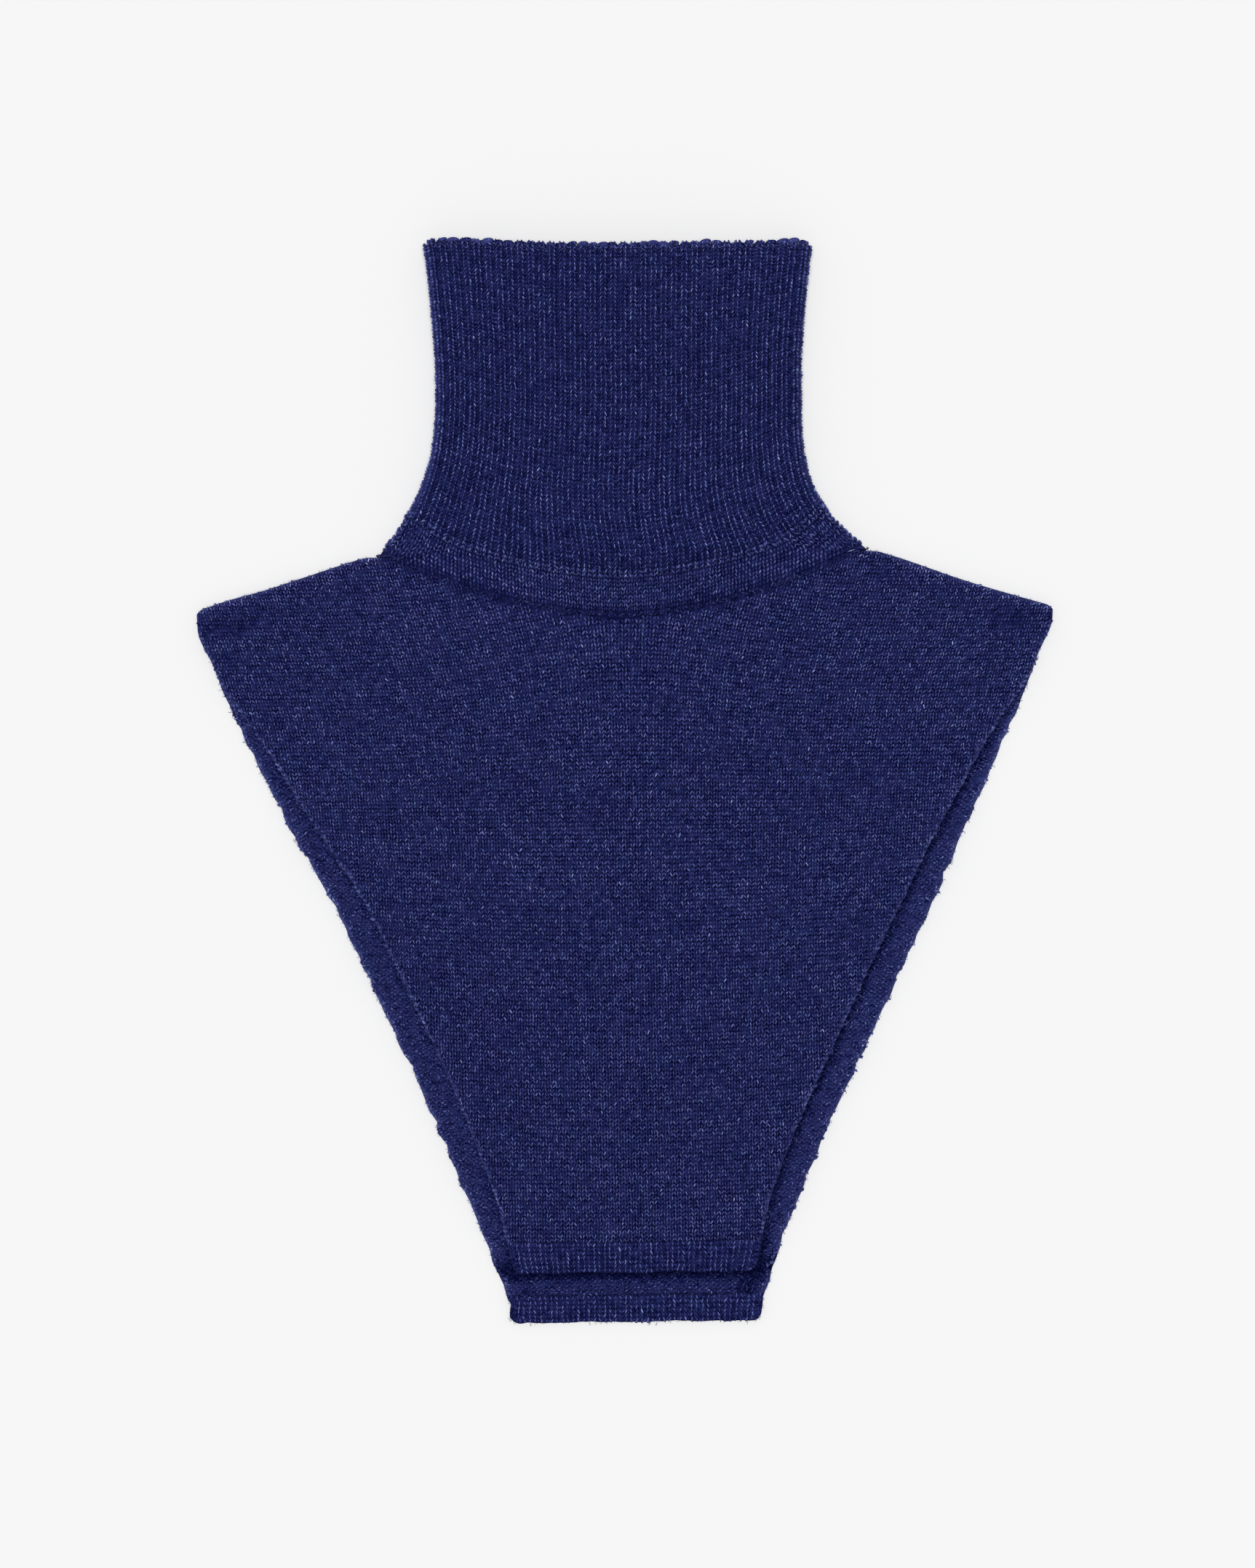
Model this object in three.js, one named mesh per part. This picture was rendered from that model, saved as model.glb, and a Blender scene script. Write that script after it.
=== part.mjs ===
import * as THREE from 'three';

// A knitted turtleneck dickey, laid flat on its back with the front up: a tall ribbed collar, a plain
// band at its foot, the linked neck seam, and a front and a back bib panel with ribbed hems.
// Millimetres, +Y towards the collar's rim, +Z up. Places along Y are measured from the neck points,
// where the collar's two side folds meet the shoulders.

// Walls and gaps
const knitWall = 2;
const ribWall = 2.2;
const pieceGap = 0.3;
const layerGap = 0.5; // between the two panels where they lie on each other

// Collar
const collarHeight = 137; // from the neck points up to the rim
const collarWidth = 159.4; // laid flat, at its waist
const waistHeight = 75; // where the collar is narrowest
const rimFlare = 5.3; // on each side, from the waist up to the rim
const neckWidth = 216; // from one neck point to the other
const bandHeight = 16;
const neckHollow = 10; // clear height between the collar's two walls, at its middle

// Neck seam
const seamHeight = 2.2;
const seamRecess = 0.3;
const frontNeckDrop = 28;
const backNeckDrop = 6;

// Ribs
const ribPitch = 4.3;
const hemRibPitch = 4.6;
const ribDepth = 0.8;
const rimScallop = 0.7;

// Bib panels
const shoulderSpan = 376;
const shoulderDrop = 26; // of a shoulder tip below its neck point
const tipRadius = 6;
const frontLength = 317; // from the neck points down to the hem's edge
const hemStep = 22; // how much lower the back hem lies
const backLength = frontLength + hemStep;
const backHemWidth = 108;
const frontHemHeight = 13.5;
const backHemHeight = 12;
const hemCorner = 4;
const stripWidth = 14; // how far the back panel shows beside the front one
const rollWidth = 7; // the back panel's side edge curls up in a soft roll
const rollHeight = 2.2;

// How the front panel lies: how far its rise at the neck reaches, and the puff along the shoulders
const riseReach = 150;
const riseMargin = 30;
const puffHeight = 1;
const puffReach = 12;
const settleWidth = 15;

// Shares that shape the curves
const neckSweep = 3;
const rimSweep = 1.6;
const neckCurve = 1.8;
const sideThinning = 0.35;
const edgeBevel = 0.55;
const foldCrowding = 0.65; // how much closer a plain ring's columns are at its two folds
const rollStart = 1.2; // the roll grows where the strip is between these shares of rollWidth wide
const rollFull = 1.6;

// Mesh steps
const collarRows = 6;
const bandRows = 3;
const panelRows = 13;
const neckColumns = 24;
const shoulderColumns = 5;
const hemRows = 2;

// A panel's side edge, from the shoulder tip (down 0) to the back hem's edge (down 1). out is the share
// that is left of the way in from the shoulder tip to the hem's corner
const sideOutline = [
  { down: 0, out: 1 },
  { down: 0.03, out: 1 },
  { down: 0.112, out: 0.91 },
  { down: 0.265, out: 0.748 },
  { down: 0.42, out: 0.578 },
  { down: 0.572, out: 0.401 },
  { down: 0.725, out: 0.238 },
  { down: 0.879, out: 0.087 },
  { down: 0.981, out: 0.008 },
  { down: 1, out: 0 },
];

// How much of stripWidth the front panel's side edge stands in from the back panel's
const stripOutline = [
  { down: 0, inset: 0 },
  { down: 0.085, inset: 0 },
  { down: 0.163, inset: 0.44 },
  { down: 0.265, inset: 0.71 },
  { down: 0.367, inset: 0.93 },
  { down: 0.572, inset: 1.03 },
  { down: 0.776, inset: 0.84 },
  { down: 0.9, inset: 0.85 },
];

// A panel's mesh columns beside its edge, and the height of the back panel's roll there
const edgeColumns = [
  { inset: 0, roll: 0.35 },
  { inset: 0.2, roll: 0.85 },
  { inset: 0.5, roll: 1 },
  { inset: 1, roll: 0 },
];

// Soft dents in the front panel, as shares of half the shoulder span, of the front length and of
// puffHeight: a short crease below each shoulder tip
const dents = [
  { across: -0.93, down: 0.1, long: 0.07, wide: 0.012, deep: 0.8 },
  { across: 0.93, down: 0.105, long: 0.08, wide: 0.012, deep: 0.7 },
];

const { clamp, lerp, smoothstep } = THREE.MathUtils;
const halfNeck = neckWidth / 2;
const halfSpan = shoulderSpan / 2;

// A smooth curve through a table's rows, read at one place along it
function readTable(table, key, column, place) {
  const last = table.length - 1;
  const held = clamp(place, table[0][key], table[last][key]);
  let row = 0;
  while (row < last - 1 && held > table[row + 1][key]) row += 1;
  const slope = (from) => {
    const rise = table[from + 1][column] - table[from][column];
    return rise / (table[from + 1][key] - table[from][key]);
  };
  const bend = (at) => {
    const before = slope(Math.max(at - 1, 0));
    const after = slope(Math.min(at, last - 1));
    return before * after <= 0 ? 0 : (before + after) / 2;
  };
  const step = table[row + 1][key] - table[row][key];
  const t = (held - table[row][key]) / step;
  const ease = t * t * (3 - 2 * t);
  const start = t * (1 - t) * (1 - t) * step * bend(row);
  const end = t * t * (t - 1) * step * bend(row + 1);
  return lerp(table[row][column], table[row + 1][column], ease) + start + end;
}

function collarHalfWidth(y) {
  const below = clamp(1 - y / waistHeight, 0, 1);
  const above = clamp((y - waistHeight) / (collarHeight - waistHeight), 0, 1);
  const neckFlare = (neckWidth - collarWidth) / 2;
  return collarWidth / 2 + neckFlare * below ** neckSweep + rimFlare * above ** rimSweep;
}

// The neck seam's middle line. It is level round the two side folds and drops towards the middle
function neckLine(x, drop) {
  const reach = clamp(Math.abs(x) / (halfNeck - 2 * knitWall), 0, 1);
  return -drop * (1 - reach ** neckCurve);
}

// A panel's upper edge: below the neck seam, and along the shoulders to the rounded tips
function panelTop(x, drop) {
  const across = Math.abs(x);
  const seamEdge = seamHeight / 2 + pieceGap;
  if (across <= halfNeck) return neckLine(x, drop) - seamEdge;
  const out = (across - halfNeck) / (halfSpan - halfNeck);
  const corner = clamp((across - halfSpan + tipRadius) / tipRadius, 0, 1);
  return lerp(-seamEdge, -shoulderDrop, out) - (tipRadius / 2) * corner ** 2;
}

function sideShare(y) {
  return (-shoulderDrop - y) / (backLength - shoulderDrop);
}

function backHalfWidth(y) {
  return lerp(backHemWidth / 2, halfSpan, readTable(sideOutline, 'down', 'out', sideShare(y)));
}

function stripAt(y) {
  return stripWidth * readTable(stripOutline, 'down', 'inset', sideShare(y));
}

function frontHalfWidth(y) {
  return backHalfWidth(y) - stripAt(y);
}

function dentAt(x, y) {
  let depth = 0;
  for (const dent of dents) {
    const along = (x - dent.across * halfSpan) / (dent.long * halfSpan);
    const across = (y + dent.down * frontLength) / (dent.wide * frontLength);
    depth += dent.deep * puffHeight * Math.exp(-(along ** 2) - across ** 2);
  }
  return depth;
}

// Clear height between the front and the back layer. It is greatest in the collar, falls off over the
// front panel, and closes where the panels are joined along the shoulders
function hollowAt(x, y) {
  const across = Math.abs(x);
  const reach = clamp(across / (halfNeck + riseMargin), 0, 1);
  const panelRise = Math.cos((Math.PI / 2) * reach) ** 2;
  const collarRise = 1 - sideThinning * clamp(across / collarHalfWidth(y), 0, 1) ** 2;
  const rise = lerp(panelRise, collarRise, smoothstep(y, 0, waistHeight));
  const fade = 0.5 + 0.5 * Math.cos(Math.PI * clamp((-frontNeckDrop - y) / riseReach, 0, 1));
  const onShoulder = smoothstep(across, halfNeck, halfNeck + puffReach);
  const below = Math.max(panelTop(x, frontNeckDrop) - y, 0) / puffReach;
  const puff = onShoulder * puffHeight * below * Math.exp(1 - below);
  const open = layerGap + (neckHollow - layerGap) * rise * fade + puff - onShoulder * dentAt(x, y);
  const closing = onShoulder * (1 - smoothstep(below, 0, 1));
  return Math.max(lerp(open, pieceGap, closing), pieceGap);
}

// A closed shell between an upper and a lower surface, each given by column and row. It has walls along
// its ends, and along its sides too unless it runs round on itself
function shell(columns, rows, upper, lower, round = false) {
  const count = round ? columns : columns + 1;
  const positions = [];
  for (const surface of [upper, lower]) {
    for (let row = 0; row <= rows; row += 1) {
      for (let column = 0; column < count; column += 1) positions.push(...surface(column, row));
    }
  }
  const at = (layer, column, row) => (layer * (rows + 1) + row) * count + (column % count);
  const faces = [];
  const quad = (a, b, c, d) => faces.push(a, b, c, a, c, d);
  for (let column = 0; column < columns; column += 1) {
    const next = column + 1;
    for (let row = 0; row < rows; row += 1) {
      quad(at(0, column, row), at(0, next, row), at(0, next, row + 1), at(0, column, row + 1));
      quad(at(1, column, row), at(1, column, row + 1), at(1, next, row + 1), at(1, next, row));
    }
    quad(at(1, column, 0), at(1, next, 0), at(0, next, 0), at(0, column, 0));
    quad(at(0, column, rows), at(0, next, rows), at(1, next, rows), at(1, column, rows));
  }
  for (let row = 0; row < rows && !round; row += 1) {
    quad(at(1, 0, row + 1), at(1, 0, row), at(0, 0, row), at(0, 0, row + 1));
    quad(at(1, columns, row), at(1, columns, row + 1), at(0, columns, row + 1), at(0, columns, row));
  }
  const geometry = new THREE.BufferGeometry();
  geometry.setAttribute('position', new THREE.Float32BufferAttribute(positions, 3));
  geometry.setIndex(faces);
  geometry.computeVertexNormals();
  return geometry;
}

// A point of the flattened neck tube at height y. share runs round from the left fold's outermost
// point, over the front and back under it; offset moves the point out of the wall's middle
function tubePoint(share, y, wall, lift, offset) {
  const half = collarHalfWidth(y) - wall / 2;
  let radius = wall;
  for (let pass = 0; pass < 3; pass += 1) radius = (wall + hollowAt(half - radius, y)) / 2;
  const flat = half - radius;
  const quarter = (Math.PI / 2) * radius;
  const frontEnd = quarter + 2 * flat;
  const backStart = frontEnd + 2 * quarter;
  const backEnd = backStart + 2 * flat;
  const along = share * (backEnd + quarter);
  const floor = lift + wall / 2;
  const fold = (side, angle) => [
    side * flat + (radius + offset) * Math.cos(angle),
    y,
    floor + radius + (radius + offset) * Math.sin(angle),
  ];
  if (along < quarter) return fold(-1, Math.PI - along / radius);
  if (along < frontEnd) {
    const x = along - quarter - flat;
    return [x, y, floor + wall + hollowAt(x, y) + offset];
  }
  if (along < backStart) return fold(1, Math.PI / 2 - (along - frontEnd) / radius);
  if (along < backEnd) return [flat - (along - backStart), y, floor - offset];
  return fold(-1, -Math.PI / 2 - (along - backEnd) / radius);
}

// The neck seam's height at a share of the way round the tube
function seamAt(share) {
  const [x] = tubePoint(share, 0, knitWall, 0, 0);
  return neckLine(x, share < 0.5 ? frontNeckDrop : backNeckDrop);
}

// A ring of the neck tube between two edges that are given by the share of the way round
function neckRing({ columns, rows, bottom, top, wall, lift, ridge, crowding }) {
  const surface = (side) => (column, row) => {
    const even = column / columns;
    const share = even - (crowding * Math.sin(4 * Math.PI * even)) / (4 * Math.PI);
    const y = lerp(bottom(share, column), top(share, column), row / rows);
    return tubePoint(share, y, wall, lift, side * (wall / 2) + ridge(column));
  };
  return shell(columns, rows, surface(1), surface(-1), true);
}

function ribCount(length, pitch) {
  return Math.max(Math.round(length / pitch), 2);
}

const neckRibs = ribCount(2 * collarWidth, ribPitch);

function makeCollar() {
  const isRib = (column) => column % 2 === 0;
  return neckRing({
    columns: 2 * neckRibs,
    rows: collarRows,
    bottom: (share) => seamAt(share) + seamHeight / 2 + bandHeight + 2 * pieceGap,
    top: (share, column) => collarHeight - (isRib(column) ? 0 : rimScallop),
    wall: ribWall,
    lift: ribDepth / 2,
    ridge: (column) => (isRib(column) ? ribDepth / 2 : -ribDepth / 2),
    crowding: 0,
  });
}

function makeBaseBand() {
  return neckRing({
    columns: neckRibs,
    rows: bandRows,
    bottom: (share) => seamAt(share) + seamHeight / 2 + pieceGap,
    top: (share) => seamAt(share) + seamHeight / 2 + pieceGap + bandHeight,
    wall: knitWall,
    lift: 0,
    ridge: () => 0,
    crowding: foldCrowding,
  });
}

function makeNeckSeam() {
  return neckRing({
    columns: neckRibs,
    rows: 1,
    bottom: (share) => seamAt(share) - seamHeight / 2,
    top: (share) => seamAt(share) + seamHeight / 2,
    wall: knitWall,
    lift: 0,
    ridge: () => -seamRecess,
    crowding: foldCrowding,
  });
}

// The mesh columns of a panel: four beside each edge, then even steps along the shoulders and the neck.
// side and inset place an edge column, and share places an inner one
function panelColumns() {
  const edge = edgeColumns.map(({ inset, roll }) => ({ inset: inset * rollWidth, roll }));
  const inner = [];
  const flat = halfSpan - rollWidth;
  for (let step = 1; step < shoulderColumns; step += 1) {
    inner.push(lerp(-flat, -halfNeck, step / shoulderColumns) / flat);
  }
  for (let step = 0; step <= neckColumns; step += 1) {
    inner.push(lerp(-halfNeck, halfNeck, step / neckColumns) / flat);
  }
  for (let step = 1; step < shoulderColumns; step += 1) {
    inner.push(lerp(halfNeck, flat, step / shoulderColumns) / flat);
  }
  return [
    ...edge.map((column) => ({ side: -1, ...column })),
    ...inner.map((share) => ({ side: 0, share, inset: Infinity, roll: 0 })),
    ...edge.reverse().map((column) => ({ side: 1, ...column })),
  ];
}

// Where a panel's mesh points lie in plan. Rows are closer together towards the shoulders
function panelPlan(columns, drop, bottom, halfWidthAt) {
  const rowSpread = 1.4;
  const tip = panelTop(halfSpan, drop);
  return (column, row) => {
    const { side, share, inset } = columns[column];
    const down = (1 - row / panelRows) ** rowSpread;
    const placeX = (half) => (side === 0 ? share * (half - rollWidth) : side * (half - inset));
    const y = lerp(panelTop(placeX(halfSpan), drop), bottom, down);
    const half = halfWidthAt(lerp(tip, bottom, down));
    const x = placeX(half);
    const onShoulder = row === panelRows && Math.abs(x) > halfNeck + pieceGap;
    return { x, y, half, isEdge: inset === 0 || onShoulder };
  };
}

function makeFrontPanel() {
  const columns = panelColumns();
  const bottom = -frontLength + frontHemHeight + pieceGap;
  const plan = panelPlan(columns, frontNeckDrop, bottom, frontHalfWidth);
  const underside = ({ x, y, half }) => {
    const settled = smoothstep(half - Math.abs(x), 0, settleWidth);
    return knitWall + lerp(pieceGap, hollowAt(x, y), settled);
  };
  const upper = (column, row) => {
    const place = plan(column, row);
    return [place.x, place.y, underside(place) + knitWall * (place.isEdge ? edgeBevel : 1)];
  };
  const lower = (column, row) => {
    const place = plan(column, row);
    return [place.x, place.y, underside(place)];
  };
  return shell(columns.length - 1, panelRows, upper, lower);
}

function makeBackPanel() {
  const columns = panelColumns();
  const bottom = -backLength + backHemHeight + pieceGap;
  const plan = panelPlan(columns, backNeckDrop, bottom, backHalfWidth);
  const upper = (column, row) => {
    const { x, y } = plan(column, row);
    const free = smoothstep(stripAt(y), rollStart * rollWidth, rollFull * rollWidth);
    return [x, y, knitWall + rollHeight * columns[column].roll * free];
  };
  const lower = (column, row) => {
    const { x, y, isEdge } = plan(column, row);
    return [x, y, isEdge ? knitWall * (1 - edgeBevel) : 0];
  };
  return shell(columns.length - 1, panelRows, upper, lower);
}

// A ribbed band along a panel's lower edge, with rounded lower corners
function makeHem(length, height, halfWidthAt, base) {
  const top = -length + height;
  const ribs = ribCount(2 * halfWidthAt(-length), hemRibPitch);
  const columns = 2 * ribs;
  const surface = (side) => (column, row) => {
    const share = (2 * column) / columns - 1;
    const fromEdge = (1 - Math.abs(share)) * halfWidthAt(-length);
    const corner = clamp(1 - fromEdge / hemCorner, 0, 1);
    const bottom = -length + hemCorner * (1 - Math.sqrt(1 - corner ** 2));
    const y = lerp(bottom, top, row / hemRows);
    const ridge = column % 2 === 0 ? -ribDepth / 2 : ribDepth / 2;
    const z = base + (ribWall + ribDepth) / 2 + side * (ribWall / 2) + ridge;
    return [share * halfWidthAt(y), y, z];
  };
  return shell(columns, hemRows, surface(1), surface(-1));
}

function makePiece(name, colour, geometry) {
  const material = new THREE.MeshStandardMaterial({ color: colour, roughness: 0.95, metalness: 0 });
  const mesh = new THREE.Mesh(geometry, material);
  mesh.name = name;
  return mesh;
}

const ribNavy = 0x21244e;
const knitNavy = 0x232754;
const bandNavy = 0x262a58;
const seamNavy = 0x191c42;
const purlNavy = 0x20244b;

const dickey = new THREE.Group();
dickey.position.y = (backLength - collarHeight) / 2;
dickey.add(
  makePiece('collar', ribNavy, makeCollar()),
  makePiece('collar_base_band', bandNavy, makeBaseBand()),
  makePiece('neck_seam', seamNavy, makeNeckSeam()),
  makePiece('front_panel', knitNavy, makeFrontPanel()),
  makePiece('back_panel', purlNavy, makeBackPanel()),
  makePiece(
    'front_hem',
    ribNavy,
    makeHem(frontLength, frontHemHeight, frontHalfWidth, knitWall + pieceGap),
  ),
  makePiece('back_hem', ribNavy, makeHem(backLength, backHemHeight, backHalfWidth, 0)),
);

export default dickey;
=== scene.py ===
# A knitted turtleneck dickey in heathered navy yarn, laid flat on its back with the front up. Each
# knitted part is a thin cloth. Where it shows, its loops are laid on it one by one: pairs of slanted
# legs on the knit side, ridges and purl bumps in the ribs, purl loops where the back panel shows its
# inside.
# Cloth is worked out in millimetres from the neck points, where the collar's side folds meet the
# shoulders: x to the wearer's left, y up to the rim. in_frame turns it into metres in the frame.

import math

import bpy
import numpy as np
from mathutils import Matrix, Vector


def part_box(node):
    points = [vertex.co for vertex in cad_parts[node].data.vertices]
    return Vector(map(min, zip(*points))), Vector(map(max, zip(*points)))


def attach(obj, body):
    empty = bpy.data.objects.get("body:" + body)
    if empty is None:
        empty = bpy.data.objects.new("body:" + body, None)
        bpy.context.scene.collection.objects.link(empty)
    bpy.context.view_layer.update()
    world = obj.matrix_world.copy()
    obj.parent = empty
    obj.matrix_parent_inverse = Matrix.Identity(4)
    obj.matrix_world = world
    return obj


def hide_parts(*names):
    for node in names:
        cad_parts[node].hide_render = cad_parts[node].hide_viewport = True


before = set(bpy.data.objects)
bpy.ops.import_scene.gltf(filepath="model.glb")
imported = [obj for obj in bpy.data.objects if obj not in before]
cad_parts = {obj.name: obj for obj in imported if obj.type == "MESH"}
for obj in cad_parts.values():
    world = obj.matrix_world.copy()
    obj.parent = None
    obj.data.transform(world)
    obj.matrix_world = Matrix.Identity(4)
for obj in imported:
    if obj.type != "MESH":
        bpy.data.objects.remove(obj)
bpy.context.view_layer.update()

MM = 0.001


def node_reach(node, end, axis):
    """A node's lowest (end 0) or highest (end 1) place along an axis, in millimetres."""
    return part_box(node)[end][axis] / MM


# Walls and gaps
KNIT_WALL = 2.0
RIB_WALL = 2.2
PIECE_GAP = 0.3
LAYER_GAP = 0.5

# The share of its thickness that a cloth keeps at its rounded edge, and what it never gets thinner than
EDGE_THICKNESS = 0.35
BACK_EDGE_THICKNESS = 0.4
THINNEST = 0.1

# Collar
COLLAR_HEIGHT = 137.0
COLLAR_WIDTH = 159.4
WAIST_HEIGHT = 75.0
RIM_FLARE = 5.3
NECK_WIDTH = 216.0
HALF_NECK = NECK_WIDTH / 2
BAND_HEIGHT = 16.0
NECK_HOLLOW = 10.0
NECK_SWEEP = 3.25
RIM_SWEEP = 1.6
RIM_THICKNESS = 1.4

# The rim isn't quite level: it lies this much higher at the picture's left fold, and falls by RIM_FALL
# between two places across. It is rounded off at the folds
RIM_RISE = 0.8
RIM_FALL = 3.2
RIM_FALL_FROM = -75.0
RIM_FALL_TO = -8.0
RIM_CORNER = 1.8
RIM_LUMP_RISE = 0.35
FOLD_ROUND = 2.5

# How far the collar leans to the picture's left, by height above the neck points
COLLAR_LEAN = ((0, 0), (14, 2.0), (27, 2.5), (40, 1.8), (53, 1.3), (66, 0.8), (91, 0.6), (130, 0))

# The ribs keep straight in the middle and take up a flare towards the side folds, by this power
RIB_FAN = 2.3

# Neck seam
SEAM_HEIGHT = 2.2
SEAM_RECESS = 0.3
FRONT_NECK_DROP = 28.0
BACK_NECK_DROP = 6.0
NECK_CURVE = 1.8

# The band's last rows rise to meet the ribs, from this share of its height on
FOOT_RISE = 0.5
FOOT_START = 0.8

# Cloths reach this far over the gap between pieces, so that their loops hide it
EDGE_CLOSING = 0.22

# How deep the stitches sink beside the neck seam, how far from it, and how much painted shade darkens them
# there
SEAM_DIP = 0.75
SEAM_DIP_REACH = 1.3
SEAM_PAINTED_SHADE = 0.3

# Ribs
RIB_PITCH = 4.3
HEM_RIB_PITCH = 4.6
RIB_DEPTH = 0.8
NECK_RIBS = round(2 * COLLAR_WIDTH / RIB_PITCH)

# Bib panels. What the frame gives is read from it
NECK_Y = node_reach("collar", 1, 1) - COLLAR_HEIGHT
HALF_SPAN = node_reach("back_panel", 1, 0)
FRONT_LENGTH = NECK_Y - node_reach("front_hem", 0, 1)
BACK_LENGTH = NECK_Y - node_reach("back_hem", 0, 1)
HALF_BACK_HEM = node_reach("back_hem", 1, 0)
SHOULDER_DROP = 26.0
TIP_RADIUS = 3.0
FRONT_HEM_HEIGHT = 13.5
BACK_HEM_HEIGHT = 12.0
HEM_CORNER = 3.0
HEM_WAVE = 0.5
HEM_WAVE_LENGTH = 4.6
STRIP_WIDTH = 14.0
ROLL_WIDTH = 7.0
ROLL_HEIGHT = 2.2
ROLL_START = 1.2
ROLL_FULL = 1.6
ROLL_UNEVEN = 0.3
SEAM_EDGE = SEAM_HEIGHT / 2 + PIECE_GAP

# How the front panel lies
RISE_REACH = 150.0
RISE_MARGIN = 30.0
PUFF_HEIGHT = 1.0
PUFF_REACH = 12.0
SETTLE_WIDTH = 15.0
SIDE_THINNING = 0.35
RIPPLE_HEIGHT = 0.22
RIPPLE_LENGTH = 24.0
RIPPLE_FINE = 0.35
RIPPLE_FINE_ACROSS = RIPPLE_LENGTH / 3
RIPPLE_FINE_ALONG = RIPPLE_LENGTH / 4

# A panel's side edge from the shoulder tip (0) to the back hem's edge (1): the share that is left of the
# way in from the tip to the hem's corner
SIDE_OUTLINE = (
    (0, 1),
    (0.02, 1),
    (0.071, 0.955),
    (0.112, 0.918),
    (0.265, 0.75),
    (0.42, 0.567),
    (0.572, 0.398),
    (0.725, 0.228),
    (0.879, 0.076),
    (0.981, -0.005),
    (1, -0.01),
)

# How far the cloth lies to the picture's right of straight, at the same shares of the way down
SIDE_LEAN = (
    (0, 0.6),
    (0.2, 0.7),
    (0.3, 1.2),
    (0.42, 3.2),
    (0.5, 2.6),
    (0.64, 2.1),
    (0.75, 1.0),
    (0.86, 0.7),
    (1, 1.1),
)

# The loops and hairs of the cut edges stand out this far, so the cloth ends before its outline
FRINGE = 1.2
FRINGE_START = 0.06

# How much higher than straight each shoulder lies, from the neck (0) to its tip (1), on the picture's
# left and right
LEFT_SHOULDER = ((0, 0), (0.05, 1.6), (0.14, 2.2), (0.6, 2.0), (0.85, 2.8), (1, 2.6))
RIGHT_SHOULDER = ((0, 0), (0.05, 1.0), (0.12, 1.0), (0.5, -0.6), (0.8, -0.8), (1, -0.6))

# How much of the strip's width the front panel's edge stands in from the back panel's, on the same way
STRIP_OUTLINE = (
    (0, 0),
    (0.085, 0),
    (0.163, 0.44),
    (0.265, 0.71),
    (0.367, 0.93),
    (0.572, 1.03),
    (0.776, 0.92),
    (0.83, 0.84),
    (0.88, 0.65),
    (0.92, 0.52),
    (1, 0.5),
)

# The back panel's rolled side edge: its height at shares of the roll's width, from the edge in
ROLL_SECTION = ((0, 0.35), (0.2, 0.85), (0.5, 1), (1, 0))

# Short creases below the shoulder tips: place, length and width as shares of half the span and of the
# front length, and depth as a share of the puff
CREASES = (
    {"across": -0.93, "down": 0.1, "long": 0.07, "wide": 0.012, "deep": 0.8},
    {"across": 0.9, "down": 0.1, "long": 0.05, "wide": 0.016, "deep": 0.6},
)

# Plain knit: the stitch columns (wales) run straight up from the hem and fan out towards the neck
WALE_PITCH = 2.45
WALE_REACH = 72
WALE_FOOT = -306.0
WALE_HEAD = 16.0
WALE_STEP = 1.0
FAN_LIMIT = math.tan(math.radians(18))
FAN_TOP = -39.0
FAN_AT_NECK = 0.0063
FAN_AT_SIDES = 0.0006
FAN_FADE = 22.0
FAN_FOOT = -220.0
FAN_RISE = 150.0
COURSE_PITCH_LOW = 1.82
COURSE_PITCH_HIGH = 1.92
PITCH_CHANGE = (-160.0, -120.0)

# The stitch rows (courses), by their height on the middle line: how far they sag towards the sides,
# within SAG_REACH, and how strongly they bow up towards the side edges (in mm for each mm squared)
SAG_REACH = 60.0
COURSE_SAG = ((-306, 0), (-135, 0), (-96, 3), (-64, 6.4), (-39, 10), (16, 18))
COURSE_BOW = (
    (-306, 0.0003),
    (-282, 0.0003),
    (-250, 0.0006),
    (-212, 0.00045),
    (-135, 0.00024),
    (-96, 0),
    (16, 0),
)

# Rows in the ribs and the band
COLLAR_ROW_PITCH = 1.88
COLLAR_ROWS = round((COLLAR_HEIGHT + FRONT_NECK_DROP - BAND_HEIGHT) / COLLAR_ROW_PITCH)
BAND_ROWS = 9
HEM_ROW_PITCH = 1.85

# The grids that the cloths are made of, which crowd towards the side edges and the top
PANEL_COLUMNS = 96
PANEL_ROWS = 72
COLLAR_GRID_ROWS = 16
SEAM_GRID_ROWS = 3
SEAM_COURSES = 2
POINTS_PER_RIB = 6
HEM_GRID_ROWS = 6
SIDE_CROWDING = 1.6
TOP_CROWDING = 1.25

# The cloth lies this far under the surface that its loops make, and less far at the collar's folds
LOOP_SEAT = 0.55
FOLD_FILL = 0.4

# Side edges of the panels: uneven lobes, with small notches between them
LOBE_PITCH = 11.5
BACK_LOBE = 2.3
FRONT_LOBE = 0.6
LOBE_DRIFT = 0.35
LOBE_FULLNESS = 0.6
LOBE_LEVEL = 0.6
LOBE_STRENGTH = 0.65
LOBE_SPREAD = 0.45
LOBE_FINE = 0.18
LOBE_FINE_PITCH = 3.4
LOBES_AT_TIP = 0.25
LOBES_OPEN = (0.1 * STRIP_WIDTH, 0.5 * STRIP_WIDTH)

NOISE_KNOTS = 64

# Pale fibres: the share of legs that show one, and how far it lifts their tone
FLECK_SHARE = 0.12
FLECK_TONE = 0.26
YARN_TONE = 0.63
YARN_TONE_SPREAD = 0.3

# How strongly the tone drifts along the rows, and how many wales and rows its fine and broad drifts take
STREAKS = 0.045
FINE_STREAK_WALES = 7
FINE_STREAKS_PER_ROW = 0.9
BROAD_STREAK = 0.7
BROAD_STREAK_WALES = 16
BROAD_STREAK_ROWS = 3.5

# Rounds in which the tube's fold and the knit's net settle. The net's last row is held just inside
FOLD_ROUNDS = 3
NET_ROUNDS = 5
NET_END = 1.001


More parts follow.
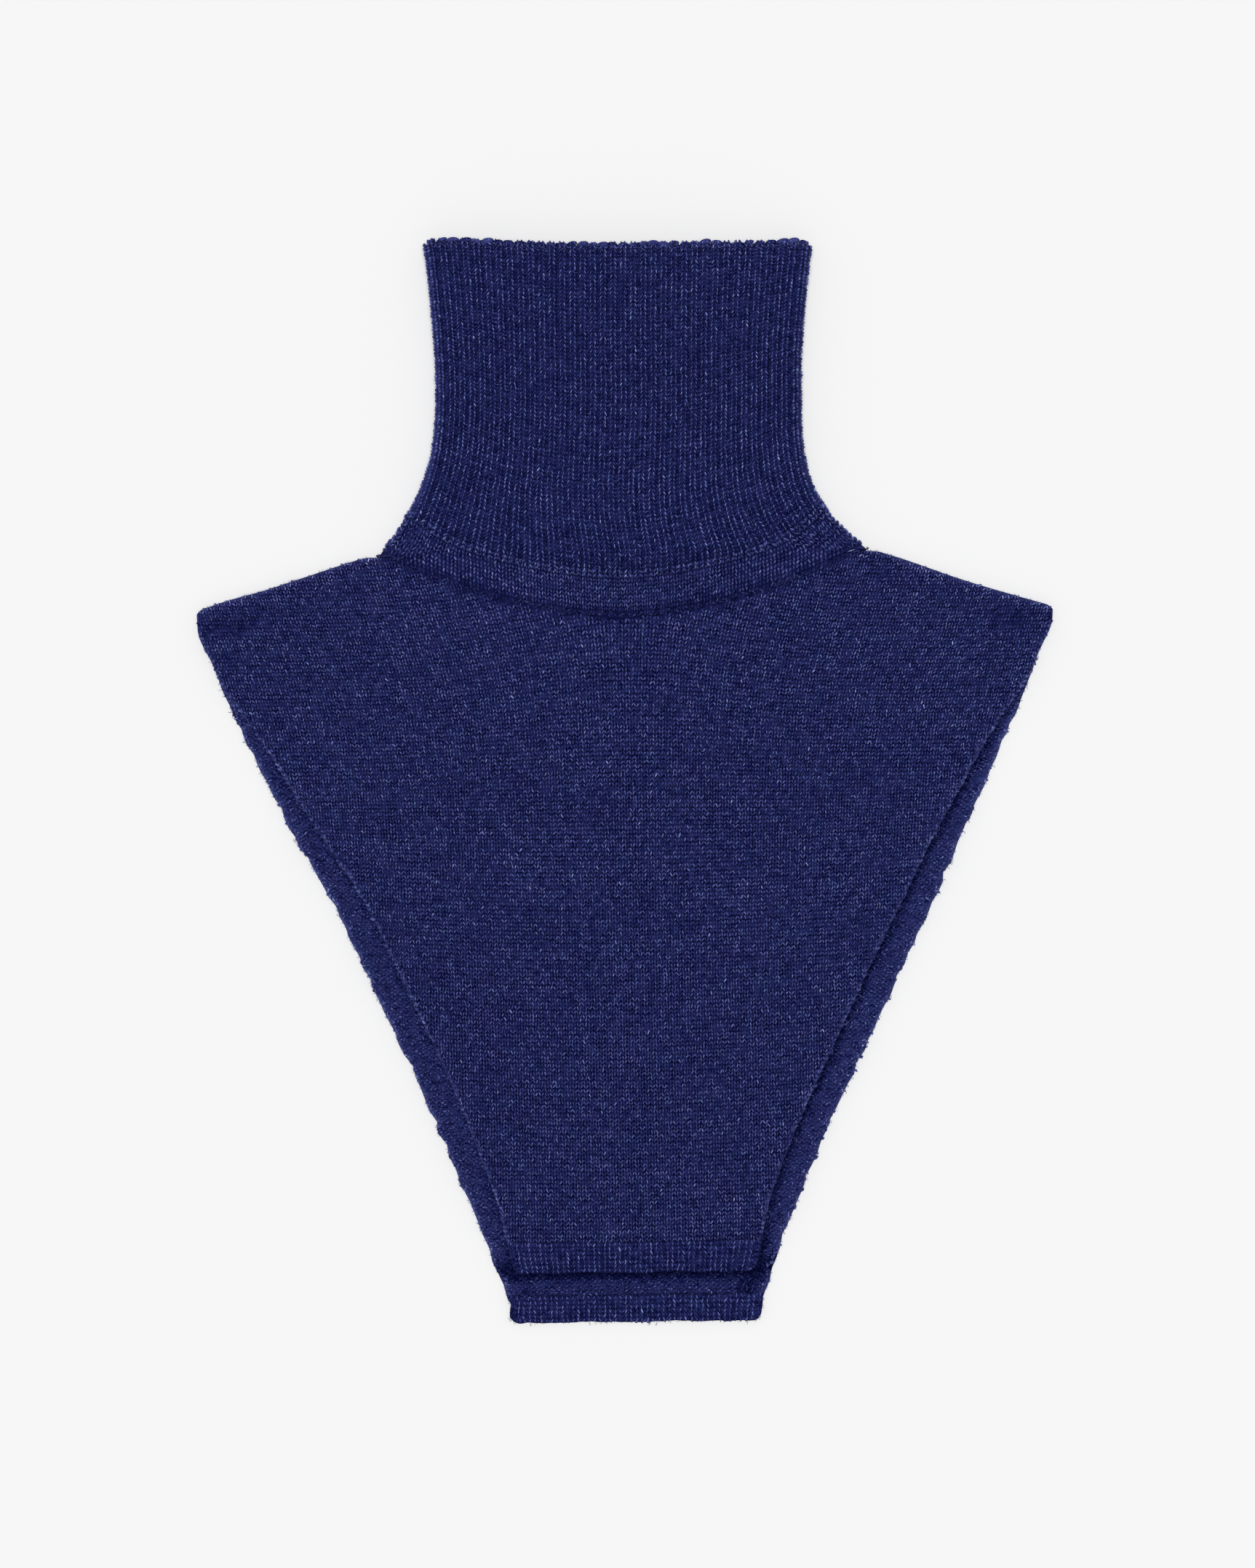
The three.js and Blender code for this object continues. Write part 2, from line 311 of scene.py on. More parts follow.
def smoothstep(value, low, high):
    share = np.clip((value - low) / (high - low), 0, 1)
    return share * share * (3 - 2 * share)


def lerp(start, end, share):
    return start + (end - start) * share


def smooth_curve(rows, place):
    """A smooth curve through a table's rows (place, value), read at each of the places."""
    at, value = np.array(rows, dtype=float).T
    slope = np.diff(value) / np.diff(at)
    before = np.concatenate([slope[:1], slope])
    after = np.concatenate([slope, slope[-1:]])
    bend = np.where(before * after <= 0, 0, (before + after) / 2)
    held = np.clip(place, at[0], at[-1])
    row = np.clip(np.searchsorted(at, held) - 1, 0, len(at) - 2)
    step = at[row + 1] - at[row]
    t = (held - at[row]) / step
    ease = t * t * (3 - 2 * t)
    start = t * (1 - t) ** 2 * step * bend[row]
    end = t * t * (t - 1) * step * bend[row + 1]
    return value[row] + (value[row + 1] - value[row]) * ease + start + end


def soft_noise(u, v, seed):
    """Smooth uneven values between -1 and 1, with a new value at each whole u and v."""
    knots = np.random.default_rng(seed).uniform(-1, 1, (NOISE_KNOTS, NOISE_KNOTS))
    u, v = np.broadcast_arrays(np.asarray(u, dtype=float), np.asarray(v, dtype=float))
    column = np.floor(u).astype(int)
    row = np.floor(v).astype(int)
    ease_u = smoothstep(u - column, 0, 1)
    ease_v = smoothstep(v - row, 0, 1)
    corner = [[knots[(column + i) % NOISE_KNOTS, (row + j) % NOISE_KNOTS] for j in (0, 1)] for i in (0, 1)]
    low = lerp(corner[0][0], corner[1][0], ease_u)
    high = lerp(corner[0][1], corner[1][1], ease_u)
    return lerp(low, high, ease_v)


def in_frame(points):
    """Points in millimetres from the neck points, as metres in the frame."""
    return (points + np.array([0, NECK_Y, 0])) * MM


def stack(x, y, z):
    return np.stack(np.broadcast_arrays(x, y, z), axis=-1).astype(float)


# Outlines and heights of the cloth


def collar_half_width(y):
    below = np.clip(1 - y / WAIST_HEIGHT, 0, 1)
    above = np.clip((y - WAIST_HEIGHT) / (COLLAR_HEIGHT - WAIST_HEIGHT), 0, 1)
    neck_flare = (NECK_WIDTH - COLLAR_WIDTH) / 2
    return COLLAR_WIDTH / 2 + neck_flare * below**NECK_SWEEP + RIM_FLARE * above**RIM_SWEEP


def neck_line(x, drop):
    reach = np.clip(np.abs(x) / (HALF_NECK - 2 * KNIT_WALL), 0, 1)
    return -drop * (1 - reach**NECK_CURVE)


def panel_top(x, drop):
    """A panel's upper edge: below the neck seam, and along the shoulders to the rounded tips."""
    across = np.abs(x)
    out = (across - HALF_NECK) / (HALF_SPAN - HALF_NECK)
    corner = np.clip((across - HALF_SPAN + TIP_RADIUS) / TIP_RADIUS, 0, 1)
    lift = np.where(np.asarray(x) < 0, smooth_curve(LEFT_SHOULDER, out), smooth_curve(RIGHT_SHOULDER, out))
    shoulder = lerp(-SEAM_EDGE, -SHOULDER_DROP, out) + lift - (TIP_RADIUS / 2) * corner**2
    return np.where(across <= HALF_NECK, neck_line(x, drop) - SEAM_EDGE, shoulder)


def side_share(y):
    return (-SHOULDER_DROP - y) / (BACK_LENGTH - SHOULDER_DROP)


def strip_at(y):
    return STRIP_WIDTH * smooth_curve(STRIP_OUTLINE, side_share(y))


def lobes(x, y, height, seed):
    """How far the lobes along a cut side edge stand out of it."""
    side = np.sign(x) * NOISE_KNOTS / 4
    drift = LOBE_DRIFT * soft_noise(y / (2 * LOBE_PITCH), side, seed)
    bulge = np.abs(np.cos(math.pi * (y / LOBE_PITCH + drift))) ** LOBE_FULLNESS
    strength = LOBE_STRENGTH + LOBE_SPREAD * soft_noise(y / LOBE_PITCH, side + 1, seed + 1)
    fine = LOBE_FINE * soft_noise(y / LOBE_FINE_PITCH, side, seed + 2)
    free = smoothstep(strip_at(y), *LOBES_OPEN)
    return height * (strength * (bulge - LOBE_LEVEL) + fine) * lerp(LOBES_AT_TIP, 1, free)


def plain_back_half(y):
    return lerp(HALF_BACK_HEM, HALF_SPAN, smooth_curve(SIDE_OUTLINE, side_share(y)))


def side_edge(x, y):
    """Where a side edge would run without lobes."""
    share = side_share(y)
    lean = np.sign(x) * smooth_curve(SIDE_LEAN, share)
    return plain_back_half(y) + lean - FRINGE * smoothstep(share, 0, FRINGE_START)


def back_half(x, y):
    return side_edge(x, y) + lobes(x, y, BACK_LOBE, seed=11)


def front_half(x, y):
    return side_edge(x, y) - strip_at(y) + lobes(x, y, FRONT_LOBE, seed=23)


def crease_depth(x, y):
    depth = 0
    for crease in CREASES:
        along = (x - crease["across"] * HALF_SPAN) / (crease["long"] * HALF_SPAN)
        across = (y + crease["down"] * FRONT_LENGTH) / (crease["wide"] * FRONT_LENGTH)
        depth = depth + crease["deep"] * PUFF_HEIGHT * np.exp(-(along**2) - across**2)
    return depth


def hollow_at(x, y):
    """Clear height between the front layer and the back one."""
    across = np.abs(x)
    reach = np.clip(across / (HALF_NECK + RISE_MARGIN), 0, 1)
    panel_rise = np.cos((math.pi / 2) * reach) ** 2
    collar_rise = 1 - SIDE_THINNING * np.clip(across / collar_half_width(y), 0, 1) ** 2
    rise = lerp(panel_rise, collar_rise, smoothstep(y, 0, WAIST_HEIGHT))
    fade = 0.5 + 0.5 * np.cos(math.pi * np.clip((-FRONT_NECK_DROP - y) / RISE_REACH, 0, 1))
    on_shoulder = smoothstep(across, HALF_NECK, HALF_NECK + PUFF_REACH)
    below = np.maximum(panel_top(x, FRONT_NECK_DROP) - y, 0) / PUFF_REACH
    puff = on_shoulder * PUFF_HEIGHT * below * np.exp(1 - below)
    open_gap = LAYER_GAP + (NECK_HOLLOW - LAYER_GAP) * rise * fade + puff - on_shoulder * crease_depth(x, y)
    closing = on_shoulder * (1 - smoothstep(below, 0, 1))
    return np.maximum(lerp(open_gap, PIECE_GAP, closing), PIECE_GAP)


def ripple(x, y, seed):
    """Soft unevenness of cloth that nobody has pressed."""
    wide = soft_noise(x / RIPPLE_LENGTH, y / RIPPLE_LENGTH, seed)
    narrow = soft_noise(x / RIPPLE_FINE_ACROSS, y / RIPPLE_FINE_ALONG, seed + 1)
    return RIPPLE_HEIGHT * (wide + RIPPLE_FINE * narrow)


def edge_round(inset, radius):
    """1 inside a cloth, falling to 0 at its rounded edge."""
    near = 1 - np.clip(inset / radius, 0, 1)
    return np.sqrt(1 - near**2)


def front_under(x, y):
    settled = smoothstep(front_half(x, y) - np.abs(x), 0, SETTLE_WIDTH)
    return KNIT_WALL + lerp(PIECE_GAP, hollow_at(x, y), settled)


def front_inset(x, y):
    """How far a place lies in from the front panel's side edge or shoulder edge."""
    side = front_half(x, y) - np.abs(x)
    shoulder = np.where(np.abs(x) > HALF_NECK, panel_top(x, FRONT_NECK_DROP) - y, np.inf)
    return np.minimum(side, shoulder)


def near_seam(distance):
    """1 at the neck seam, falling away from it."""
    return np.exp(-((np.maximum(distance, 0) / SEAM_DIP_REACH) ** 2))


def front_near_seam(x, y):
    on_neck = 1 - smoothstep(np.abs(x), HALF_NECK - 2 * SEAM_DIP_REACH, HALF_NECK)
    return on_neck * near_seam(panel_top(x, FRONT_NECK_DROP) - y)


def front_top(x, y):
    """The front panel's upper surface."""
    inset = front_inset(x, y)
    calm = smoothstep(inset, 0, SETTLE_WIDTH)
    wall = KNIT_WALL * lerp(EDGE_THICKNESS, 1, edge_round(inset, KNIT_WALL)) + ripple(x, y, seed=31) * calm
    return front_under(x, y) + wall - SEAM_DIP * front_near_seam(x, y)


def back_roll(x, y):
    """How high the back panel's rolled side edge stands above the flat cloth."""
    inset = back_half(x, y) - np.abs(x)
    free = smoothstep(strip_at(y), ROLL_START * ROLL_WIDTH, ROLL_FULL * ROLL_WIDTH)
    side = np.sign(x) * NOISE_KNOTS / 4
    uneven = 1 + ROLL_UNEVEN * soft_noise(y / LOBE_PITCH, side, seed=41)
    return ROLL_HEIGHT * smooth_curve(ROLL_SECTION, inset / ROLL_WIDTH) * free * uneven


def back_top(x, y):
    inset = back_half(x, y) - np.abs(x)
    return KNIT_WALL * lerp(BACK_EDGE_THICKNESS, 1, edge_round(inset, KNIT_WALL)) + back_roll(x, y)


def fanned(x, flat, y):
    """Where a rib that would lie at x lies on the flattened tube, which is flat wide on each side."""
    straight = np.minimum(COLLAR_WIDTH / 2 / collar_half_width(y), 1)
    reach = np.clip(np.abs(x) / flat, 0, 1)
    return x * lerp(reach ** (RIB_FAN - 1), 1, straight)


def tube_point(share, y, wall, lift, offset):
    """A point of the flattened neck tube. share runs round it from the left fold, over the front and
    back under it. offset moves the point out of the wall's middle."""
    share, y = np.broadcast_arrays(np.asarray(share, dtype=float) % 1, y)
    half = collar_half_width(y) - wall / 2
    radius = wall
    for _ in range(FOLD_ROUNDS):
        radius = (wall + hollow_at(half - radius, y)) / 2
    flat = half - radius
    quarter = (math.pi / 2) * radius
    front_end = quarter + 2 * flat
    back_start = front_end + 2 * quarter
    back_end = back_start + 2 * flat
    along = share * (back_end + quarter)
    floor = lift + wall / 2
    front_x = fanned(along - quarter - flat, flat, y)
    back_x = fanned(flat - (along - back_start), flat, y)
    turn = [math.pi - along / radius, math.pi / 2 - (along - front_end) / radius]
    turn.append(-math.pi / 2 - (along - back_end) / radius)
    where = [along < quarter, along < front_end, along < back_start, along < back_end]
    left_start, right, left_end = [(radius + offset) * np.cos(angle) for angle in turn]
    x = np.select(
        where,
        [left_start - flat, front_x, right + flat, back_x],
        left_end - flat,
    )
    rise = [floor + radius + (radius + offset) * np.sin(angle) for angle in turn]
    front_z = floor + wall + hollow_at(front_x, y) + offset
    z = np.select(where, [rise[0], front_z, rise[1], floor - offset + 0 * along], rise[2])
    return stack(x - smooth_curve(COLLAR_LEAN, y), y, z)


def near_fold(share):
    """1 at the side folds of the tube, falling away from them."""
    from_fold = np.abs((np.asarray(share) * 2 + 0.5) % 1 - 0.5) * COLLAR_WIDTH
    return np.exp(-((from_fold / FOLD_ROUND) ** 2))


def rim_height(share):
    """The height of the cast-off edge at a share of the way round the tube."""
    x = (np.abs((np.asarray(share) * 2) % 2 - 1) * -2 + 1) * COLLAR_WIDTH / 2
    level = RIM_RISE - RIM_FALL * smoothstep(x, RIM_FALL_FROM, RIM_FALL_TO)
    return COLLAR_HEIGHT - RIM_THICKNESS + level - RIM_CORNER * near_fold(share)


def seam_at(share):
    """The neck seam's height at a share of the way round the tube."""
    share = np.asarray(share, dtype=float) % 1
    x = tube_point(share, 0.0, KNIT_WALL, 0, 0)[..., 0]
    return np.where(share < 0.5, neck_line(x, FRONT_NECK_DROP), neck_line(x, BACK_NECK_DROP))


def rib_foot(share):
    """The height where the collar's rib starts, above the plain band."""
    return seam_at(share) + SEAM_HEIGHT / 2 + BAND_HEIGHT + 2 * PIECE_GAP


# Node trees


def add_node(tree, kind, sockets=None, **settings):
    """A new node. sockets gives its inputs, by name or number, a value or the output that feeds them."""
    node = tree.nodes.new(kind)
    for name, value in settings.items():
        setattr(node, name, value)
    for key, value in (sockets or {}).items():
        if isinstance(value, bpy.types.NodeSocket):
            tree.links.new(value, node.inputs[key])
        else:
            node.inputs[key].default_value = value
    return node


def calc(tree, operation, *values):
    return add_node(tree, "ShaderNodeMath", dict(enumerate(values)), operation=operation).outputs[0]


def vector_calc(tree, operation, *values):
    return add_node(tree, "ShaderNodeVectorMath", dict(enumerate(values)), operation=operation).outputs[0]


def stretch(tree, vector, factor):
    sockets = {"Vector": vector, "Scale": factor}
    return add_node(tree, "ShaderNodeVectorMath", sockets, operation="SCALE").outputs[0]


def blend_colours(tree, share, first, second, mode="MIX"):
    sockets = {0: share, 6: first, 7: second}
    return add_node(tree, "ShaderNodeMix", sockets, data_type="RGBA", blend_type=mode).outputs[2]


def open_group(name, kind, inputs, outputs):
    """An empty node group with its named sockets, its input node and its output node."""
    tree = bpy.data.node_groups.new(name, kind)
    for label, socket_kind, value in inputs:
        socket = tree.interface.new_socket(name=label, in_out="INPUT", socket_type=socket_kind)
        if value is not None:
            socket.default_value = value
    for label, socket_kind in outputs:
        tree.interface.new_socket(name=label, in_out="OUTPUT", socket_type=socket_kind)
    return tree, tree.nodes.new("NodeGroupInput").outputs, tree.nodes.new("NodeGroupOutput").inputs


FLOAT = "NodeSocketFloat"
SHAPE = "NodeSocketGeometry"
LOOP_INPUTS = (
    ("Hosts", SHAPE, None),
    ("Length", FLOAT, 1.3),
    ("Width", FLOAT, 0.38),
    ("Depth", FLOAT, 0.9 * MM),
    ("Splay", FLOAT, 0.22),
    ("Stagger", FLOAT, 0.0),
    ("Slant", FLOAT, 0.4),
    ("Dip", FLOAT, 0.15),
    ("Roll", FLOAT, 0.2),
    ("Size Spread", FLOAT, 0.2),
    ("Turn Spread", FLOAT, 0.26),
    ("Lightness", FLOAT, 0.0),
    ("Seed", "NodeSocketInt", 1),
    ("Yarn", "NodeSocketMaterial", None),
)


def host_value(tree, name, kind="FLOAT_VECTOR"):
    return add_node(tree, "GeometryNodeInputNamedAttribute", {"Name": name}, data_type=kind).outputs[0]


def chance(tree, spread, seed, step):
    """A random value from -spread to spread for each point, on its own draw."""
    sockets = {2: calc(tree, "MULTIPLY", spread, -1), 3: spread, "Seed": calc(tree, "ADD", seed, step)}
    return add_node(tree, "FunctionNodeRandomValue", sockets, data_type="FLOAT").outputs[1]


# A leg's shape: the sphere it is drawn out of, what makes that 1 wide, deep and long, and the height of
# its foot
SLIM_LEG = {"segments": 3, "rings": 3, "scale": (1 / 1.3, 1 / 1.5, 1 / 2), "foot": -1 / 3}
ROUND_LEG = {"segments": 8, "rings": 6, "scale": (1 / 2, 1 / 2, 1 / 2), "foot": -1 / 2}


def store(tree, shape, label, value, **settings):
    """Keeps a value on a shape, by attribute name."""
    sockets = {"Geometry": shape, "Name": label, "Value": value}
    kind = "GeometryNodeStoreNamedAttribute"
    return add_node(tree, kind, sockets, data_type="FLOAT", **settings).outputs[0]


def yarn_leg(tree, shape):
    """One leg of a loop, 1 long, wide and deep, its crest up. Its points keep how high they lie on it."""
    sockets = {"Segments": shape["segments"], "Rings": shape["rings"], "Radius": 1.0}
    sphere = add_node(tree, "GeometryNodeMeshUVSphere", sockets)
    sockets = {
        "Geometry": sphere.outputs[0],
        "Rotation": (math.pi / 2, -math.pi / 2, 0),
        "Scale": shape["scale"],
    }
    leg = add_node(tree, "GeometryNodeTransform", sockets)
    position = add_node(tree, "GeometryNodeInputPosition").outputs[0]
    height = add_node(tree, "ShaderNodeSeparateXYZ", {0: position}).outputs[2]
    return store(tree, leg.outputs[0], "crest", calc(tree, "SUBTRACT", height, shape["foot"]))


def mark_copies(tree, copies, values):
    """Gives every placed leg or fibre its own values, by attribute name."""
    for label, value in values.items():
        copies = store(tree, copies, label, value, domain="INSTANCE")
    return copies


def knit_facing(tree, side, run):
    """The turn that lays yarn along the knit's own directions."""
    axes = {"Primary Axis": vector_calc(tree, "CROSS_PRODUCT", side, run), "Secondary Axis": run}
    kind = "FunctionNodeAxesToRotation"
    return add_node(tree, kind, axes, primary_axis="Z", secondary_axis="Y").outputs[0]


def turned(tree, facing, turn):
    """A facing with a further turn about its own axes."""
    euler = add_node(tree, "ShaderNodeCombineXYZ", turn)
    spin = add_node(tree, "FunctionNodeEulerToRotation", {0: euler.outputs[0]})
    sockets = {0: facing, 1: spin.outputs[0]}
    return add_node(tree, "FunctionNodeRotateRotation", sockets, rotation_space="LOCAL").outputs[0]


def place_copies(tree, points, shape, rotation, scale):
    sockets = {"Points": points, "Instance": shape, "Rotation": rotation, "Scale": scale}
    return add_node(tree, "GeometryNodeInstanceOnPoints", sockets).outputs[0]


def length_of(tree, vector):
    return add_node(tree, "ShaderNodeVectorMath", {0: vector}, operation="LENGTH").outputs["Value"]


def fleck_tone(tree, seed, step):
    """How much lighter a leg is where a pale fibre shows. Only a few legs have one."""
    rare = calc(tree, "SUBTRACT", chance(tree, 1.0, seed, step), 1 - 2 * FLECK_SHARE)
    strength = calc(tree, "DIVIDE", calc(tree, "MAXIMUM", rare, 0.0), 2 * FLECK_SHARE)
    return calc(tree, "MULTIPLY", strength, FLECK_TONE)


def finish_tree(tree, shapes, yarn, result):
    """Joins the placed copies, makes them real and gives them their yarn."""
    joined = add_node(tree, "GeometryNodeJoinGeometry")
    for shape in shapes:
        tree.links.new(shape, joined.inputs[0])
    real = add_node(tree, "GeometryNodeRealizeInstances", {0: joined.outputs[0]})
    smooth = add_node(tree, "GeometryNodeSetShadeSmooth", {0: real.outputs[0]})
    dyed = add_node(tree, "GeometryNodeSetMaterial", {"Geometry": smooth.outputs[0], "Material": yarn})
    tree.links.new(dyed.outputs[0], result["Loops"])


def loop_tree(name, sides, shape):
    """Lays one leg of yarn on each host point for each of the sides, turned to the knit's directions.
    side and run are the ways across and along the leg, as long as the stitch is there."""
    tree, given, result = open_group(name, "GeometryNodeTree", LOOP_INPUTS, [("Loops", SHAPE)])
    side = host_value(tree, "side")
    run = host_value(tree, "run")
    streak = host_value(tree, "streak", "FLOAT")
    facing = knit_facing(tree, side, run)
    stitch_width = length_of(tree, side)
    stitch_height = length_of(tree, run)
    leg = yarn_leg(tree, shape)
    placed = []
    for number, hand in enumerate(sides):
        draw = 10 * number
        across = stretch(tree, side, calc(tree, "MULTIPLY", given["Splay"], hand))
        along = stretch(tree, run, calc(tree, "MULTIPLY", given["Stagger"], hand))
        sockets = {"Geometry": given["Hosts"], "Offset": vector_calc(tree, "ADD", across, along)}
        moved = add_node(tree, "GeometryNodeSetPosition", sockets)
        slant = calc(tree, "MULTIPLY", given["Slant"], -hand)
        turn = {
            0: calc(tree, "ADD", given["Dip"], chance(tree, given["Turn Spread"], given["Seed"], draw)),
            1: calc(tree, "MULTIPLY", given["Roll"], hand),
            2: calc(tree, "ADD", slant, chance(tree, given["Turn Spread"], given["Seed"], draw + 1)),
        }
        swell = calc(tree, "ADD", 1.0, chance(tree, given["Size Spread"], given["Seed"], draw + 2))
        size = {
            0: calc(tree, "MULTIPLY", stitch_width, given["Width"]),
            1: calc(tree, "MULTIPLY", stitch_height, given["Length"]),
            2: given["Depth"],
        }
        box = add_node(tree, "ShaderNodeCombineXYZ", size).outputs[0]
        rotation = turned(tree, facing, turn)
        legs = place_copies(tree, moved.outputs[0], leg, rotation, stretch(tree, box, swell))
        heather = calc(tree, "ADD", YARN_TONE, chance(tree, YARN_TONE_SPREAD, given["Seed"], draw + 3))
        heather = calc(tree, "ADD", heather, fleck_tone(tree, given["Seed"], draw + 4))
        heather = calc(tree, "ADD", heather, calc(tree, "ADD", streak, given["Lightness"]))
        tint = chance(tree, 1.0, given["Seed"], draw + 5)
        placed.append(mark_copies(tree, legs, {"tone": heather, "tint": tint}))
    finish_tree(tree, placed, given["Yarn"], result)
    return tree


FUZZ_INPUTS = (
    ("Hosts", SHAPE, None),
    ("Length", FLOAT, 2.5 * MM),
    ("Thinness", FLOAT, 0.012),
    ("Bend", FLOAT, 0.3),
    ("Lift", FLOAT, 0.3),
    ("Tilt", FLOAT, 0.5),
    ("Seed", "NodeSocketInt", 1),
    ("Yarn", "NodeSocketMaterial", None),
)


# A stray fibre's steps along and around it, how its length and tone vary, and the crest height that paints
# its highlight
FIBRE_STEPS = 2
FIBRE_SIDES = 3
FIBRE_LENGTH_SPREAD = 0.5
FIBRE_TONE_SPREAD = 0.25
FIBRE_CREST = 0.6


def fuzz_tree():
    """Stands a fine bent fibre on each host point."""
    tree, given, result = open_group("stray fibres", "GeometryNodeTree", FUZZ_INPUTS, [("Loops", SHAPE)])
    middle = add_node(tree, "ShaderNodeCombineXYZ", {0: 0.5, 1: given["Bend"], 2: given["Lift"]})
    sockets = {
        "Resolution": FIBRE_STEPS,
        "Start": (0.0, 0.0, 0.0),
        "Middle": middle.outputs[0],
        "End": (1.0, 0.0, 0.0),
    }
    strand = add_node(tree, "GeometryNodeCurveQuadraticBezier", sockets)
    sockets = {"Resolution": FIBRE_SIDES, "Radius": given["Thinness"]}
    profile = add_node(tree, "GeometryNodeCurvePrimitiveCircle", sockets)
    sockets = {"Curve": strand.outputs[0], "Profile Curve": profile.outputs[0]}
    fibre = add_node(tree, "GeometryNodeCurveToMesh", sockets)
    fibre = store(tree, fibre.outputs[0], "crest", FIBRE_CREST)
    turn = {
        0: chance(tree, given["Tilt"], given["Seed"], 0),
        1: chance(tree, given["Tilt"], given["Seed"], 1),
        2: chance(tree, math.pi, given["Seed"], 2),
    }
    rotation = turned(tree, knit_facing(tree, host_value(tree, "side"), host_value(tree, "run")), turn)
    reach = calc(tree, "ADD", 1.0, chance(tree, FIBRE_LENGTH_SPREAD, given["Seed"], 3))
    size = calc(tree, "MULTIPLY", given["Length"], reach)
    box = add_node(tree, "ShaderNodeCombineXYZ", dict.fromkeys(range(3), size)).outputs[0]
    fibres = place_copies(tree, given["Hosts"], fibre, rotation, box)
    uneven = chance(tree, FIBRE_TONE_SPREAD, given["Seed"], 4)
    heather = calc(tree, "ADD", host_value(tree, "streak", "FLOAT"), uneven)
    values = {"tone": heather, "tint": chance(tree, 1.0, given["Seed"], 5)}
    finish_tree(tree, [mark_copies(tree, fibres, values)], given["Yarn"], result)
    return tree


# Yarn and cloth finishes. Colours are linear
NAVY_STOPS = (
    (0.0, (0.0009, 0.0015, 0.020)),
    (0.2, (0.0052, 0.0068, 0.047)),
    (0.4, (0.0145, 0.0180, 0.086)),
    (0.6, (0.0230, 0.0275, 0.112)),
    (0.8, (0.0365, 0.0420, 0.146)),
    (1.0, (0.0620, 0.0740, 0.212)),
    (1.25, (0.128, 0.156, 0.345)),
    (1.6, (0.380, 0.440, 0.660)),
)
TOP_TONE = NAVY_STOPS[-1][0]
FIBRE_SCALE = 2200.0
PATCH_SCALE = 160.0
PATCH_CONTRAST = 3.0
TINT_SHARE = 0.3
STEEL_TINT = (0.92, 1.04, 1.0, 1.0)
PURPLE_TINT = (1.08, 0.97, 1.0, 1.0)
FIBRE_CONTRAST = 0.9
# How far a leg's tone rises above CREST_LEVEL towards its crest and falls towards its foot: a painted
# highlight on top and painted shade at the foot
CREST_PAINTED_LIGHT = 0.66
CREST_LEVEL = 0.55

# The relief of flat loops, in wales: where a leg's middle lies, how far it slants, how strongly it swells
# along the row, and how far a purl row waves
LEG_AT = 0.25
LEG_SLANT = 0.9
LEG_BEAT = 0.3
PURL_WAVE = 0.22


def heather_group():
    """The heathered yarn: a tone picks the colour of a leg, and fine fibres vary it along the way."""
    inputs = (("Tone", FLOAT, 0.5), ("Tint", FLOAT, 0.0), ("Shade", FLOAT, 1.0))
    outputs = (("Color", "NodeSocketColor"), ("Fibres", FLOAT))
    tree, given, result = open_group("heather", "ShaderNodeTree", inputs, outputs)
    place = add_node(tree, "ShaderNodeTexCoord").outputs["Object"]
    sockets = {"Vector": place, "Scale": FIBRE_SCALE, "Detail": 2.0, "Roughness": 0.6}
    fibres = add_node(tree, "ShaderNodeTexNoise", sockets).outputs[0]
    drift = calc(tree, "MULTIPLY", calc(tree, "SUBTRACT", fibres, 0.5), FIBRE_CONTRAST)
    tone = calc(tree, "DIVIDE", calc(tree, "ADD", given["Tone"], drift), TOP_TONE)
    ramp = add_node(tree, "ShaderNodeValToRGB", {0: tone})
    stops = ramp.color_ramp.elements
    while len(stops) < len(NAVY_STOPS):
        stops.new(0.5)
    for stop, (place_on_ramp, colour) in zip(stops, NAVY_STOPS):
        stop.position = place_on_ramp / TOP_TONE
        stop.color = (*colour, 1)
    shade = add_node(tree, "ShaderNodeCombineColor", dict.fromkeys(range(3), given["Shade"]))
    colour = blend_colours(tree, 1.0, ramp.outputs[0], shade.outputs[0], "MULTIPLY")
    sockets = {"Vector": place, "Scale": PATCH_SCALE, "Detail": 2.0}
    patches = add_node(tree, "ShaderNodeTexNoise", sockets).outputs[0]
    leaning = calc(tree, "MULTIPLY_ADD", calc(tree, "SUBTRACT", patches, 0.5), PATCH_CONTRAST, 0.5)
    leaning = calc(tree, "MULTIPLY_ADD", given["Tint"], TINT_SHARE, leaning)
    tint = blend_colours(tree, leaning, STEEL_TINT, PURPLE_TINT)
    tree.links.new(blend_colours(tree, 1.0, colour, tint, "MULTIPLY"), result["Color"])
    tree.links.new(fibres, result["Fibres"])
    return tree


